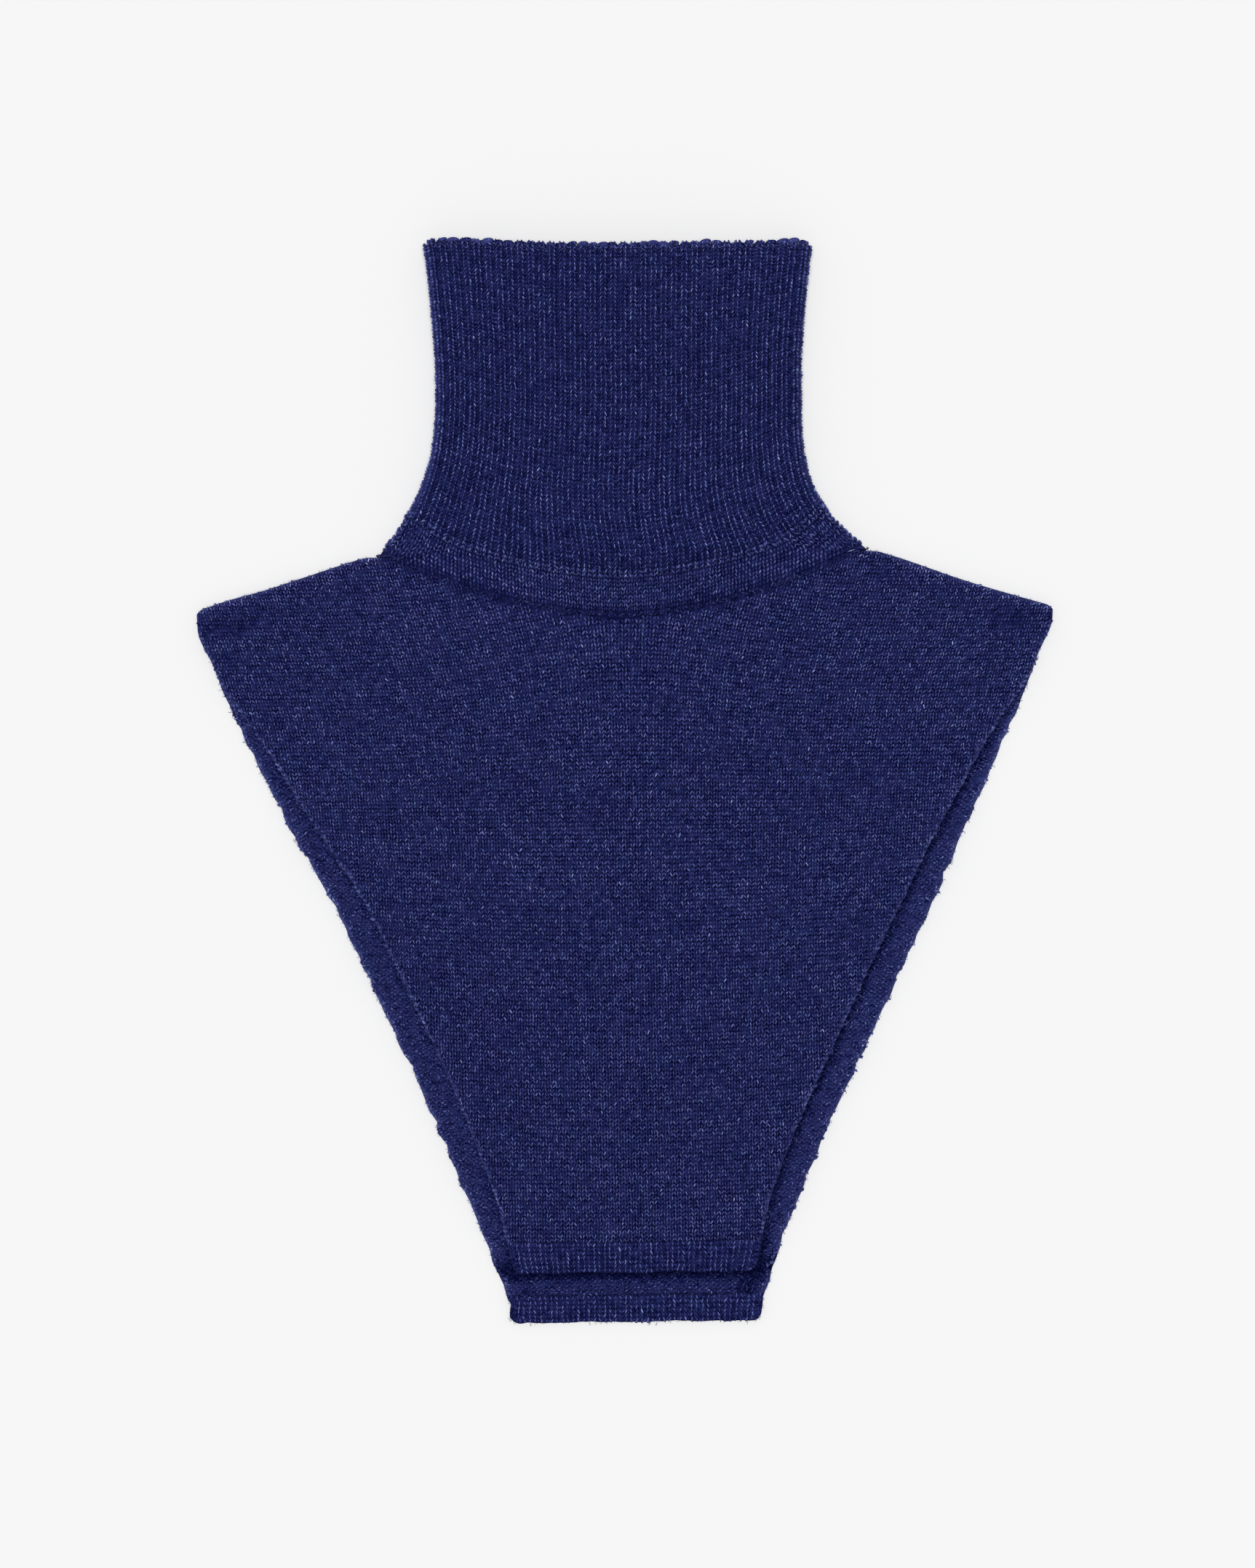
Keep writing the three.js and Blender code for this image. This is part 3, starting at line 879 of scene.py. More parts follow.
def loop_relief_group():
    """The relief of knitted loops on a flat cloth. The map counts wales and courses. Purl turns knit
    loops into purl bumps, and Rib changes from one to the other at every wale."""
    inputs = (("Map", "NodeSocketVector", None), ("Purl", FLOAT, 0.0), ("Rib", FLOAT, 0.0))
    outputs = (("Relief", FLOAT), ("Tone", FLOAT))
    tree, given, result = open_group("loop relief", "ShaderNodeTree", inputs, outputs)
    split = add_node(tree, "ShaderNodeSeparateXYZ", {0: given["Map"]}).outputs
    wale, course = split[0], split[1]
    in_wale = calc(tree, "SUBTRACT", calc(tree, "FRACT", wale), 0.5)
    from_middle = calc(tree, "ABSOLUTE", in_wale)
    from_leg = calc(tree, "DIVIDE", calc(tree, "SUBTRACT", from_middle, LEG_AT), LEG_AT)
    fallen = calc(tree, "MULTIPLY", from_leg, from_leg)
    crown = calc(tree, "SQRT", calc(tree, "MAXIMUM", calc(tree, "SUBTRACT", 1.0, fallen), 0.0))
    slanted = calc(tree, "SUBTRACT", course, calc(tree, "MULTIPLY", from_middle, LEG_SLANT))
    beat = calc(tree, "COSINE", calc(tree, "MULTIPLY", slanted, 2 * math.pi))
    knit = calc(tree, "MULTIPLY", crown, calc(tree, "MULTIPLY_ADD", beat, LEG_BEAT, 1 - LEG_BEAT))
    wave = calc(tree, "COSINE", calc(tree, "MULTIPLY", wale, 2 * math.pi))
    waved = calc(tree, "MULTIPLY_ADD", wave, PURL_WAVE, course)
    purl = calc(tree, "ABSOLUTE", calc(tree, "COSINE", calc(tree, "MULTIPLY", waved, math.pi)))
    odd_wale = calc(tree, "GREATER_THAN", calc(tree, "FRACT", calc(tree, "MULTIPLY", wale, 0.5)), 0.5)
    in_rib = calc(tree, "MULTIPLY", odd_wale, given["Rib"])
    share = calc(tree, "MAXIMUM", given["Purl"], in_rib)
    relief = add_node(tree, "ShaderNodeMix", {0: share, 2: knit, 3: purl}, data_type="FLOAT").outputs[0]
    stitch = {0: calc(tree, "FLOOR", wale), 1: calc(tree, "FLOOR", course)}
    cell = add_node(tree, "ShaderNodeCombineXYZ", stitch)
    sockets = {0: cell.outputs[0]}
    random = add_node(tree, "ShaderNodeTexWhiteNoise", sockets, noise_dimensions="3D").outputs[0]
    tree.links.new(relief, result["Relief"])
    tree.links.new(random, result["Tone"])
    return tree


HEATHER = heather_group()
LOOP_RELIEF = loop_relief_group()
CLOTH_ROUGHNESS = 0.82
YARN_SMOOTHEST = 0.7
YARN_ROUGHNESS_SPREAD = 0.25
SHINE = 0.12
SHEEN_ROUGHNESS = 0.45
CLOTH_SHEEN = 0.06
FIBRE_BUMP = 0.5
FIBRE_RELIEF = 0.12 * MM
CLOTH_FIBRES = 0.25
CLOTH_BUMP = 0.9
CLOTH_RELIEF = 0.5 * MM
SHEEN_COLOUR = (0.2, 0.26, 1.0, 1.0)


def open_material(name, glow):
    """A matt woollen finish. glow is how much its hairs catch the light seen from the side."""
    material = bpy.data.materials.new(name)
    material.use_nodes = True
    tree = material.node_tree
    shader = tree.nodes["Principled BSDF"]
    for label, value in (
        ("Specular IOR Level", SHINE),
        ("Specular Tint", SHEEN_COLOUR),
        ("Sheen Weight", glow),
        ("Sheen Roughness", SHEEN_ROUGHNESS),
        ("Sheen Tint", SHEEN_COLOUR),
    ):
        shader.inputs[label].default_value = value
    return material, tree, shader


def stored(tree, label):
    """What a piece's own attribute says, point by point."""
    return add_node(tree, "ShaderNodeAttribute", attribute_name=label).outputs["Fac"]


def add_bump(tree, shader, height, strength, distance):
    sockets = {"Height": height, "Strength": strength, "Distance": distance}
    bump = add_node(tree, "ShaderNodeBump", sockets)
    tree.links.new(bump.outputs[0], shader.inputs["Normal"])


def yarn_finish(name, shade, glow):
    """Loops of heathered wool yarn: soft, matt and hairy, each leg in its own tone."""
    material, tree, shader = open_material(name, glow)
    # Painted light: each leg's tone rises towards its crest, a painted highlight, and falls towards its foot,
    # painted shade
    lift = calc(tree, "MULTIPLY", calc(tree, "SUBTRACT", stored(tree, "crest"), CREST_LEVEL), CREST_PAINTED_LIGHT)
    sockets = {
        "Tone": calc(tree, "ADD", stored(tree, "tone"), lift),
        "Tint": stored(tree, "tint"),
        "Shade": shade,
    }
    heather = add_node(tree, "ShaderNodeGroup", sockets, node_tree=HEATHER)
    tree.links.new(heather.outputs["Color"], shader.inputs["Base Color"])
    rough = calc(tree, "MULTIPLY_ADD", heather.outputs["Fibres"], YARN_ROUGHNESS_SPREAD, YARN_SMOOTHEST)
    tree.links.new(rough, shader.inputs["Roughness"])
    add_bump(tree, shader, heather.outputs["Fibres"], FIBRE_BUMP, FIBRE_RELIEF)
    return material


def cloth_finish(name, tone, contrast, purl=0, rib=0):
    """Cloth seen as a whole: knit or purl loops in relief, painted lighter on top and painted dark between
    them.
    """
    material, tree, shader = open_material(name, CLOTH_SHEEN)
    place = add_node(tree, "ShaderNodeUVMap", uv_map="stitches").outputs[0]
    sockets = {"Map": place, "Purl": purl, "Rib": rib}
    loops = add_node(tree, "ShaderNodeGroup", sockets, node_tree=LOOP_RELIEF)
    relief = loops.outputs["Relief"]
    heather = add_node(tree, "ShaderNodeGroup", node_tree=HEATHER)
    uneven = calc(tree, "MULTIPLY_ADD", loops.outputs["Tone"], contrast, tone - contrast)
    # The piece's stored light adds its painted light and shade
    uneven = calc(tree, "ADD", uneven, stored(tree, "light"))
    tree.links.new(calc(tree, "MULTIPLY_ADD", relief, contrast, uneven), heather.inputs["Tone"])
    tree.links.new(heather.outputs["Color"], shader.inputs["Base Color"])
    shader.inputs["Roughness"].default_value = CLOTH_ROUGHNESS
    height = calc(tree, "MULTIPLY_ADD", heather.outputs["Fibres"], CLOTH_FIBRES, relief)
    add_bump(tree, shader, height, CLOTH_BUMP, CLOTH_RELIEF)
    return material


# Yarns of the pieces: how light each is, and how much its hairs catch the light
YARN_LOOKS = {
    "rib": (1.25, 0.06),
    "plain": (1.22, 0.06),
    "band": (1.22, 0.06),
    # The seam's yarn is darker: painted shade in the seam's recess
    "seam": (0.8, 0.06),
    "purl": (1.1, 0.3),
    "edge": (1.15, 0.15),
    "fuzz": (1.1, 0.4),
}
YARN = {kind: yarn_finish(f"{kind}_yarn", *look) for kind, look in YARN_LOOKS.items()}
# The grounds under the loops are given a low tone: painted shade for the gaps between the legs
KNIT_GROUND = cloth_finish("knit_ground", tone=0.2, contrast=0.3)
PURL_GROUND = cloth_finish("purl_ground", tone=0.3, contrast=0.3, purl=1)
RIB_GROUND = cloth_finish("rib_ground", tone=0.2, contrast=0.3, rib=1)
KNIT_FACE = cloth_finish("knit_face", tone=0.6, contrast=0.5)
RIB_FACE = cloth_finish("rib_face", tone=0.6, contrast=0.5, rib=1)


# Cloth


def cloth_mesh(name, upper, lower, stitch_map, materials, round_tube=False):
    """A closed cloth between an upper and a lower surface, each a grid of points in columns and rows.
    materials gives the finish of the upper side and of the lower one."""
    columns, rows = upper.shape[0] - 1, upper.shape[1] - 1
    count = columns if round_tube else columns + 1
    points = np.concatenate([in_frame(side[:count]).reshape(-1, 3) for side in (upper, lower)])

    def at(layer, column, row):
        return layer * count * (rows + 1) + (column % count) * (rows + 1) + row

    def quads(corners, finish):
        faces.append(np.stack([at(*corner).ravel() for corner in corners], axis=-1))
        maps.append(np.stack([stitch_map[column, row].reshape(-1, 2) for _, column, row in corners], axis=1))
        finishes.append(np.full(corners[0][1].size, finish))

    faces, maps, finishes = [], [], []
    column, row = np.meshgrid(np.arange(columns), np.arange(rows), indexing="ij")
    around = [(column, row), (column + 1, row), (column + 1, row + 1), (column, row + 1)]
    quads([(0, c, r) for c, r in around], 0)
    quads([(1, c, r) for c, r in reversed(around)], 1)
    column = np.arange(columns)
    foot, head = 0 * column, 0 * column + rows
    quads([(1, column, foot), (1, column + 1, foot), (0, column + 1, foot), (0, column, foot)], 0)
    quads([(0, column, head), (0, column + 1, head), (1, column + 1, head), (1, column, head)], 0)
    if not round_tube:
        row = np.arange(rows)
        left, right = 0 * row, 0 * row + columns
        quads([(1, left, row + 1), (1, left, row), (0, left, row), (0, left, row + 1)], 0)
        quads([(1, right, row), (1, right, row + 1), (0, right, row + 1), (0, right, row)], 0)
    mesh = bpy.data.meshes.new(name)
    mesh.from_pydata(points.tolist(), [], np.concatenate(faces).tolist())
    layer = mesh.uv_layers.new(name="stitches")
    layer.data.foreach_set("uv", np.concatenate(maps).ravel())
    for material in materials:
        mesh.materials.append(material)
    mesh.polygons.foreach_set("material_index", np.concatenate(finishes))
    mesh.polygons.foreach_set("use_smooth", np.ones(len(mesh.polygons), dtype=bool))
    mesh.update()
    piece = bpy.data.objects.new(name, mesh)
    bpy.context.scene.collection.objects.link(piece)
    return piece


def edge_crowded(count):
    """Shares from -1 to 1 that lie closer together towards both ends."""
    even = np.linspace(-1, 1, count)
    return np.sign(even) * (1 - (1 - np.abs(even)) ** SIDE_CROWDING)


def panel_plan(drop, bottom, half_at):
    """Where a panel's cloth points lie in plan, from its lower edge up to its top edge."""
    share = edge_crowded(PANEL_COLUMNS)[:, None]
    down = (1 - np.linspace(0, 1, PANEL_ROWS))[None, :] ** TOP_CROWDING
    on_neck = np.abs(share) * HALF_SPAN < HALF_NECK - 2 * KNIT_WALL
    top = panel_top(share * HALF_SPAN, drop) + np.where(on_neck, EDGE_CLOSING, 0)
    y = lerp(top, bottom - EDGE_CLOSING, down)
    tip = panel_top(np.sign(share) * HALF_SPAN, drop)
    half = half_at(share, lerp(tip, bottom, down))
    return share * half, y


def surface_area(points):
    """The area of a grid of points, in square millimetres."""
    across = points[1:, :-1] - points[:-1, :-1]
    along = points[:-1, 1:] - points[:-1, :-1]
    return float(np.linalg.norm(np.cross(across, along), axis=-1).sum())


# How the undersides of the panels round up at their edges, and how the back one's lifts with its roll
FRONT_UNDER_ROUND = 0.3
BACK_UNDER_ROUND = 0.6
ROLL_LIFT = 0.35
ROLL_LIFT_START = 0.2
ROLL_LIFT_REACH = 0.6

# Painted light: the cloth is coloured lighter where it turns over at its outline and at the collar's side
# folds
OUTLINE_PAINTED_LIGHT = 0.42
OUTLINE_REACH = 1.5
SIDE_FOLD_PAINTED_LIGHT = 0.22


def shade_cloth(piece, upper, lower):
    """Paints light or shade onto each point of a cloth's upper and lower surface, by its own amount."""
    values = np.concatenate([upper.ravel(), lower.ravel()])
    piece.data.attributes.new("light", "FLOAT", "POINT").data.foreach_set("value", values)


def make_front_cloth():
    x, y = panel_plan(FRONT_NECK_DROP, -FRONT_LENGTH + FRONT_HEM_HEIGHT + PIECE_GAP, front_half)
    stitch_map = np.stack([x / WALE_PITCH, y / COURSE_PITCH_LOW], axis=-1)
    inset = front_inset(x, y)
    under = front_under(x, y) + FRONT_UNDER_ROUND * (1 - edge_round(inset, KNIT_WALL))
    top = np.maximum(front_top(x, y) - LOOP_SEAT, under + THINNEST)
    sides = (stack(x, y, top), stack(x, y, under))
    piece = cloth_mesh("front_cloth", *sides, stitch_map, (KNIT_GROUND, PURL_GROUND))
    # Painted light along the outline
    light = OUTLINE_PAINTED_LIGHT * (1 - smoothstep(inset, 0, OUTLINE_REACH))
    shade_cloth(piece, light, light)
    return piece, surface_area(stack(x, y, 0))


def make_back_cloth():
    x, y = panel_plan(BACK_NECK_DROP, -BACK_LENGTH + BACK_HEM_HEIGHT + PIECE_GAP, back_half)
    stitch_map = np.stack([x / WALE_PITCH, y / COURSE_PITCH_LOW], axis=-1)
    inset = back_half(x, y) - np.abs(x)
    under = BACK_UNDER_ROUND * KNIT_WALL * (1 - edge_round(inset, KNIT_WALL))
    lifted = smoothstep(back_roll(x, y), ROLL_LIFT_START * ROLL_HEIGHT, ROLL_HEIGHT)
    near_edge = 1 - smoothstep(inset, 0, ROLL_LIFT_REACH * ROLL_WIDTH)
    under = under + ROLL_LIFT * back_roll(x, y) * lifted * near_edge
    top = np.maximum(back_top(x, y) - LOOP_SEAT * smoothstep(inset, 0, KNIT_WALL), under + THINNEST)
    sides = (stack(x, y, top), stack(x, y, under))
    piece = cloth_mesh("back_cloth", *sides, stitch_map, (PURL_GROUND, KNIT_FACE))
    # Painted light and shadow of the strips, on the upper side only
    light = strip_painted_light(x, y)
    shade_cloth(piece, light, 0 * light)
    return piece, surface_area(stack(x, y, 0))


def tube_cloth(name, columns, rows, bottom, top, wall, lift, ridge, seat, wales, courses, materials):
    """A ring of the neck tube between two edges."""
    share = (np.arange(columns + 1) / columns)[:, None]
    up = np.linspace(0, 1, rows + 1)[None, :]
    y = lerp(bottom(share), top(share), up)
    out = ridge(share)
    outer = tube_point(share, y, wall, lift, wall / 2 - seat + out)
    inner = tube_point(share, y, wall, lift, -wall / 2 + out)
    middle = tube_point(share, y, wall, lift, 0)
    stitch_map = np.stack(np.broadcast_arrays(share * wales, up * courses), axis=-1)
    piece = cloth_mesh(name, outer, inner, stitch_map, materials, round_tube=True)
    return piece, surface_area(middle)


def rib_ridge(share):
    """How far the collar's wall stands out at a share of the way round: ridges and recesses."""
    return (RIB_DEPTH / 2) * np.cos(2 * math.pi * NECK_RIBS * share)


def make_collar_cloth():
    def bottom(share):
        return rib_foot(share) - EDGE_CLOSING

    columns = POINTS_PER_RIB * NECK_RIBS
    rows = COLLAR_GRID_ROWS
    fold = near_fold(np.arange(columns + 1) / columns)[:, None]
    seat = LOOP_SEAT - FOLD_FILL * fold
    piece, area = tube_cloth("collar_cloth", columns, rows, bottom, rim_height, RIB_WALL, RIB_DEPTH / 2,
                             rib_ridge, seat, 2 * NECK_RIBS, COLLAR_ROWS, (RIB_GROUND, RIB_FACE))
    # Painted light along the side folds
    light = np.broadcast_to(OUTLINE_PAINTED_LIGHT * fold[:-1], (columns, rows + 1))
    shade_cloth(piece, light, 0 * light)
    return piece, area


def make_band_cloth():
    def bottom(share):
        return seam_at(share) + SEAM_EDGE - EDGE_CLOSING

    def top(share):
        return seam_at(share) + SEAM_EDGE + BAND_HEIGHT + EDGE_CLOSING

    def ridge(share):
        return 0 * share

    wales = 2 * NECK_RIBS
    up = np.linspace(0, 1, BAND_ROWS + 1)[None, :]
    seat = LOOP_SEAT + SEAM_DIP * near_seam(BAND_HEIGHT * up) - FOOT_RISE * smoothstep(up, FOOT_START, 1)
    return tube_cloth("band_cloth", wales, BAND_ROWS, bottom, top, KNIT_WALL, 0,
                      ridge, seat, wales, BAND_ROWS, (KNIT_GROUND, PURL_GROUND))


def make_seam_ring():
    def bottom(share):
        return seam_at(share) - SEAM_HEIGHT / 2 - EDGE_CLOSING

    def top(share):
        return seam_at(share) + SEAM_HEIGHT / 2 + EDGE_CLOSING

    def ridge(share):
        return 0 * share - SEAM_RECESS

    wales = 2 * NECK_RIBS
    seat = LOOP_SEAT + SEAM_DIP / 2
    ring, _ = tube_cloth("neck_seam_ring", wales, SEAM_GRID_ROWS, bottom, top, KNIT_WALL, 0,
                         ridge, seat, wales, SEAM_COURSES, (KNIT_GROUND, PURL_GROUND))
    return ring


def hem_foot(x, half, length):
    """A hem's uneven lower edge, with its rounded corners."""
    corner = np.clip(1 - (half - np.abs(x)) / HEM_CORNER, 0, 1)
    uneven = HEM_WAVE * soft_noise(x / HEM_WAVE_LENGTH, 0.5, seed=71)
    return -length + HEM_CORNER * (1 - np.sqrt(1 - corner**2)) + HEM_WAVE + uneven


def hem_plan(length, height, half_at, per_rib, rows):
    """A hem's points in plan, with its rounded lower corners, and the phase of its ribs."""
    ribs = max(round(2 * float(half_at(0.0, -length)) / HEM_RIB_PITCH), 2)
    share = np.linspace(-1, 1, per_rib * ribs + 1)[:, None]
    up = np.linspace(0, 1, rows + 1)[None, :]
    half = half_at(share, -length + 0 * share)
    y = lerp(hem_foot(share * half, half, length), -length + height + EDGE_CLOSING, up)
    low = half_at(share, -length + 0 * y)
    x = share * low + share**3 * (half_at(share, y) - low)
    return x, y, (share + 1) / 2 * ribs


def make_hem_cloth(name, length, height, half_at, base):
    """A hem's cloth, with its area and its width."""
    x, y, phase = hem_plan(length, height, half_at, POINTS_PER_RIB, HEM_GRID_ROWS)
    ridge = (RIB_DEPTH / 2) * np.cos(2 * math.pi * phase)
    thick = lerp(EDGE_THICKNESS, 1, edge_round(y + length, RIB_WALL / 2))
    middle = base + (RIB_WALL + RIB_DEPTH) / 2
    upper = middle + (RIB_WALL / 2 - LOOP_SEAT) * thick + ridge
    lower = middle - (RIB_WALL / 2) * thick + ridge
    stitch_map = np.stack(np.broadcast_arrays(2 * phase, (y + length) / HEM_ROW_PITCH), axis=-1)
    sides = (stack(x, y, upper), stack(x, y, lower))
    piece = cloth_mesh(name, *sides, stitch_map, (RIB_GROUND, RIB_FACE))
    return piece, surface_area(stack(x, y, 0)), float(np.ptp(x))


# Loops


def lay_loops(name, net, keep, tree, yarn, seed, across=False, lighter=0.0, **sizes):
    """Lays legs of yarn on the kept points of a net (wales by courses), as one plain mesh. Legs that lie
    across run along the course, as purl bumps do. lighter is what the place adds to their tone."""
    along = np.gradient(net, axis=1)
    aside = np.gradient(net, axis=0)
    side, run = (-along, aside) if across else (aside, along)
    wale, course = np.meshgrid(np.arange(net.shape[0]), np.arange(net.shape[1]), indexing="ij")
    streak = soft_noise(wale / FINE_STREAK_WALES, course * FINE_STREAKS_PER_ROW, seed)
    broad = soft_noise(wale / BROAD_STREAK_WALES, course / BROAD_STREAK_ROWS, seed + 1)
    streak = streak + BROAD_STREAK * broad
    mesh = bpy.data.meshes.new(name)
    mesh.from_pydata(in_frame(net[keep]).tolist(), [], [])
    for label, values in (("side", side[keep] * MM), ("run", run[keep] * MM)):
        mesh.attributes.new(label, "FLOAT_VECTOR", "POINT").data.foreach_set("vector", values.ravel())
    tone = STREAKS * streak + lighter
    mesh.attributes.new("streak", "FLOAT", "POINT").data.foreach_set("value", tone[keep])
    return grow(name, mesh, tree, dict(sizes, Seed=seed, Yarn=YARN[yarn]))


def press_flat(mesh):
    """Keeps yarn that lies on the board above it."""
    points = np.empty(3 * len(mesh.vertices))
    mesh.vertices.foreach_get("co", points)
    points[2::3] = np.maximum(points[2::3], 0)
    mesh.vertices.foreach_set("co", points)
    mesh.update()


def grow(name, host_mesh, tree, values):
    """Runs a node tree on the host points and keeps its result as the piece's plain mesh."""
    piece = bpy.data.objects.new(name, host_mesh)
    bpy.context.scene.collection.objects.link(piece)
    live = piece.modifiers.new("loops", "NODES")
    live.node_group = tree
    for item in tree.interface.items_tree:
        if item.item_type == "SOCKET" and item.in_out == "INPUT" and item.name in values:
            live[item.identifier] = values[item.name]
    graph = bpy.context.evaluated_depsgraph_get()
    grown = piece.evaluated_get(graph)
    mesh = bpy.data.meshes.new_from_object(grown, preserve_all_data_layers=True, depsgraph=graph)
    piece.modifiers.clear()
    piece.data = mesh
    mesh.name = name
    press_flat(mesh)
    bpy.data.meshes.remove(host_mesh)
    for label in ("side", "run", "streak"):
        attribute = mesh.attributes.get(label)
        if attribute:
            mesh.attributes.remove(attribute)
    return piece


def wale_net():
    """The crossings of wales and courses of the front panel in plan, wales by courses."""
    levels = np.arange(WALE_FOOT, WALE_HEAD + WALE_STEP, WALE_STEP)
    line = WALE_PITCH * np.arange(-WALE_REACH, WALE_REACH + 1)
    lines = [line]
    for level in levels[:-1]:
        fan = FAN_AT_NECK * math.exp((level - FAN_TOP) / FAN_FADE)
        fan += FAN_AT_SIDES * min(max((level - FAN_FOOT) / FAN_RISE, 0), 1)
        line = line + WALE_STEP * FAN_LIMIT * np.tanh(line * fan / FAN_LIMIT)
        lines.append(line)
    lines = np.array(lines).T
    course = [WALE_FOOT - COURSE_PITCH_LOW]
    while course[-1] < WALE_HEAD:
        higher = float(smoothstep(course[-1], *PITCH_CHANGE))
        course.append(course[-1] + lerp(COURSE_PITCH_LOW, COURSE_PITCH_HIGH, higher))
    course = np.array(course)[None, :]
    wale = np.arange(len(lines))[:, None]
    sag = smooth_curve(COURSE_SAG, course)
    bow = smooth_curve(COURSE_BOW, course)
    y = course + 0 * wale
    for _ in range(NET_ROUNDS):
        place = np.clip((y - WALE_FOOT) / WALE_STEP, 0, len(levels) - NET_END)
        row = np.floor(place).astype(int)
        x = lerp(lines[wale, row], lines[wale, row + 1], place - row)
        y = course - sag * (1 - np.exp(-((x / SAG_REACH) ** 2))) + bow * x**2
    return x, y


# Legs of yarn for each kind of stitch. Lengths and widths are shares of the stitch they stand in
PLAIN_LEGS = {
    "Length": 1.12,
    "Width": 0.32,
    "Depth": 1.05 * MM,
    "Splay": 0.24,
    "Slant": 0.42,
    "Dip": 0.32,
    "Roll": 0.2,
}
RIDGE_LEGS = {
    "Length": 1.15,
    "Width": 0.21,
    "Depth": 1.2 * MM,
    "Splay": 0.222,
    "Slant": -0.36,
    "Dip": -0.32,
    "Roll": 0.2,
}
BUMP_LEGS = {
    "Length": 0.36,
    "Width": 0.62,
    "Depth": 0.8 * MM,
    "Splay": 0.0,
    "Slant": 0.0,
    "Dip": 0.0,
    # The recessed purl bumps of a rib are painted darker: painted shade in the rib's recesses
    "Lightness": -0.42,
    "Turn Spread": 0.7,
}
PURL_LEGS = {
    "Length": 0.6,
    "Width": 0.4,
    "Depth": 0.9 * MM,
    "Splay": 0.25,
    "Stagger": 0.25,
    "Slant": 0.3,
    "Dip": 0.0,
    "Roll": 0.1,
    "Turn Spread": 1.2,
    "Size Spread": 0.3,
}
RIM_LEGS = {
    "Length": 1.12,
    "Width": 2.8,
    "Depth": 2.2 * MM,
    "Slant": 0.0,
    "Dip": 0.0,
    "Roll": 0.0,
    "Lightness": -0.4,
    "Size Spread": 0.14,
}
RIM_LEG_PAIRS = {
    **PURL_LEGS,
    "Length": 0.75,
    "Width": 0.6,
    "Depth": 0.8 * MM,
    "Lightness": -0.12,
    "Turn Spread": 0.8,
}
EDGE_LEGS = {
    **PLAIN_LEGS,
    "Length": 1.0,
    "Width": 0.5,
    "Splay": 0.25,
    "Turn Spread": 0.3,
    "Size Spread": 0.3,
}
SEAM_LEGS = {**PURL_LEGS, "Length": 0.8, "Width": 0.55, "Splay": 0.4}
EDGE_LIGHT = 0.2
EDGE_LIGHT_LENGTH = 8.0
EDGE_PITCH = 2.0
EDGE_REACH = 1.2

# How unevenly each kind of stitch lies
PLAIN_JITTER = 0.13
PURL_JITTER = 0.35
RIB_JITTER = 0.1
HEM_JITTER = 0.12
RIM_JITTER = 0.12
RIM_LEG_JITTER = 0.2
SEAM_JITTER = 0.22

# Fine fibres: curls on the strips, hairs on cut edges, threads along the front's edge and long strays
CURLS = {"Length": 1.2 * MM, "Thinness": 0.06, "Bend": 0.6, "Lift": 0.12, "Tilt": 0.5}
HAIRS = {"Length": 0.8 * MM, "Thinness": 0.045, "Bend": 0.4, "Lift": 0.1, "Tilt": 0.5}
THREADS = {"Length": 2.0 * MM, "Thinness": 0.035, "Bend": 0.8, "Lift": 0.15, "Tilt": 0.3}
STRAYS = {"Length": 8.0 * MM, "Thinness": 0.006, "Bend": 0.3, "Lift": 0.02, "Tilt": 0.02}
CURL_TRIES = 64000
HAIR_COUNT = 2600
HEM_HAIR_COUNT = 360
SHOULDER_HAIR_COUNT = 900
THREAD_TONE = 0.95
STRAY_TONE = 0.9
THREAD_COUNT = 260
STRAY_COUNT = 110
COLLAR_STRAY_COUNT = 26

# Where hairs and threads start: how far in from an edge, and how high on or above the cloth
HAIR_INSET = (-0.2, 1.4)
HAIR_HEIGHT = (0.4, 1.05)
HAIR_TONE = 0.85
HAIR_START = 20
HEM_HAIR_INSET = (0.5, 1.4)
HEM_HAIR_FOOT = 0.5
HEM_HAIR_TONE = 0.7
SHOULDER_HAIR_INSET = (0.0, 1.6)
SHOULDER_HAIR_DEPTH = (0.0, 0.3)
SHOULDER_HAIR_TONE = 0.72
THREAD_INSET = (-0.4, 2.4)
THREAD_LIFT = (0.0, 0.3)
THREAD_START = 12
CURL_MARGIN = 0.5
CURL_LIFT = 0.1
CURL_TONE = 0.5
STRAY_MARGIN = 12
STRAY_FOOT = 6
STRAY_LIFT = 0.25
COLLAR_STRAY_REACH = (0.06, 0.44)
COLLAR_STRAY_FOOT = -5

# How deep the loops sink into the surface, deepest at a hem's top and easing off over a share of its
# height, and how far they keep from the edges of the cloth
LOOP_SINK = 0.35
RIB_SINK = 0.1
HEM_SINK = 0.5
HEM_SINK_SHARE = 0.4
EDGE_MARGIN = 0.9
SHOULDER_MARGIN = 0.3
BACK_MARGIN = 0.7
HEM_MARGIN = 0.4
HEM_OVERLAP = 0.2

# The cast-off edge of the rim: how far its lumps reach and stand out and how uneven they are, and how its
# legs of yarn climb and arch over them
RIM_REACH = 0.9
RIM_OUT = 0.1
RIM_UNEVEN = 0.3
RIM_LEG_PITCH = 1.0
RIM_LEG_SINK = 0.3
RIM_ARCH = 0.4

# What shows of the back panel: how far it reaches under the front one, how far below the shoulder it
# starts, and how wide its strips are where their painted light and shadow begin and where they are full
STRIP_OVERLAP = 6.0
STRIP_START = 12
STRIP_OPENS = (0.2 * STRIP_WIDTH, 0.6 * STRIP_WIDTH)
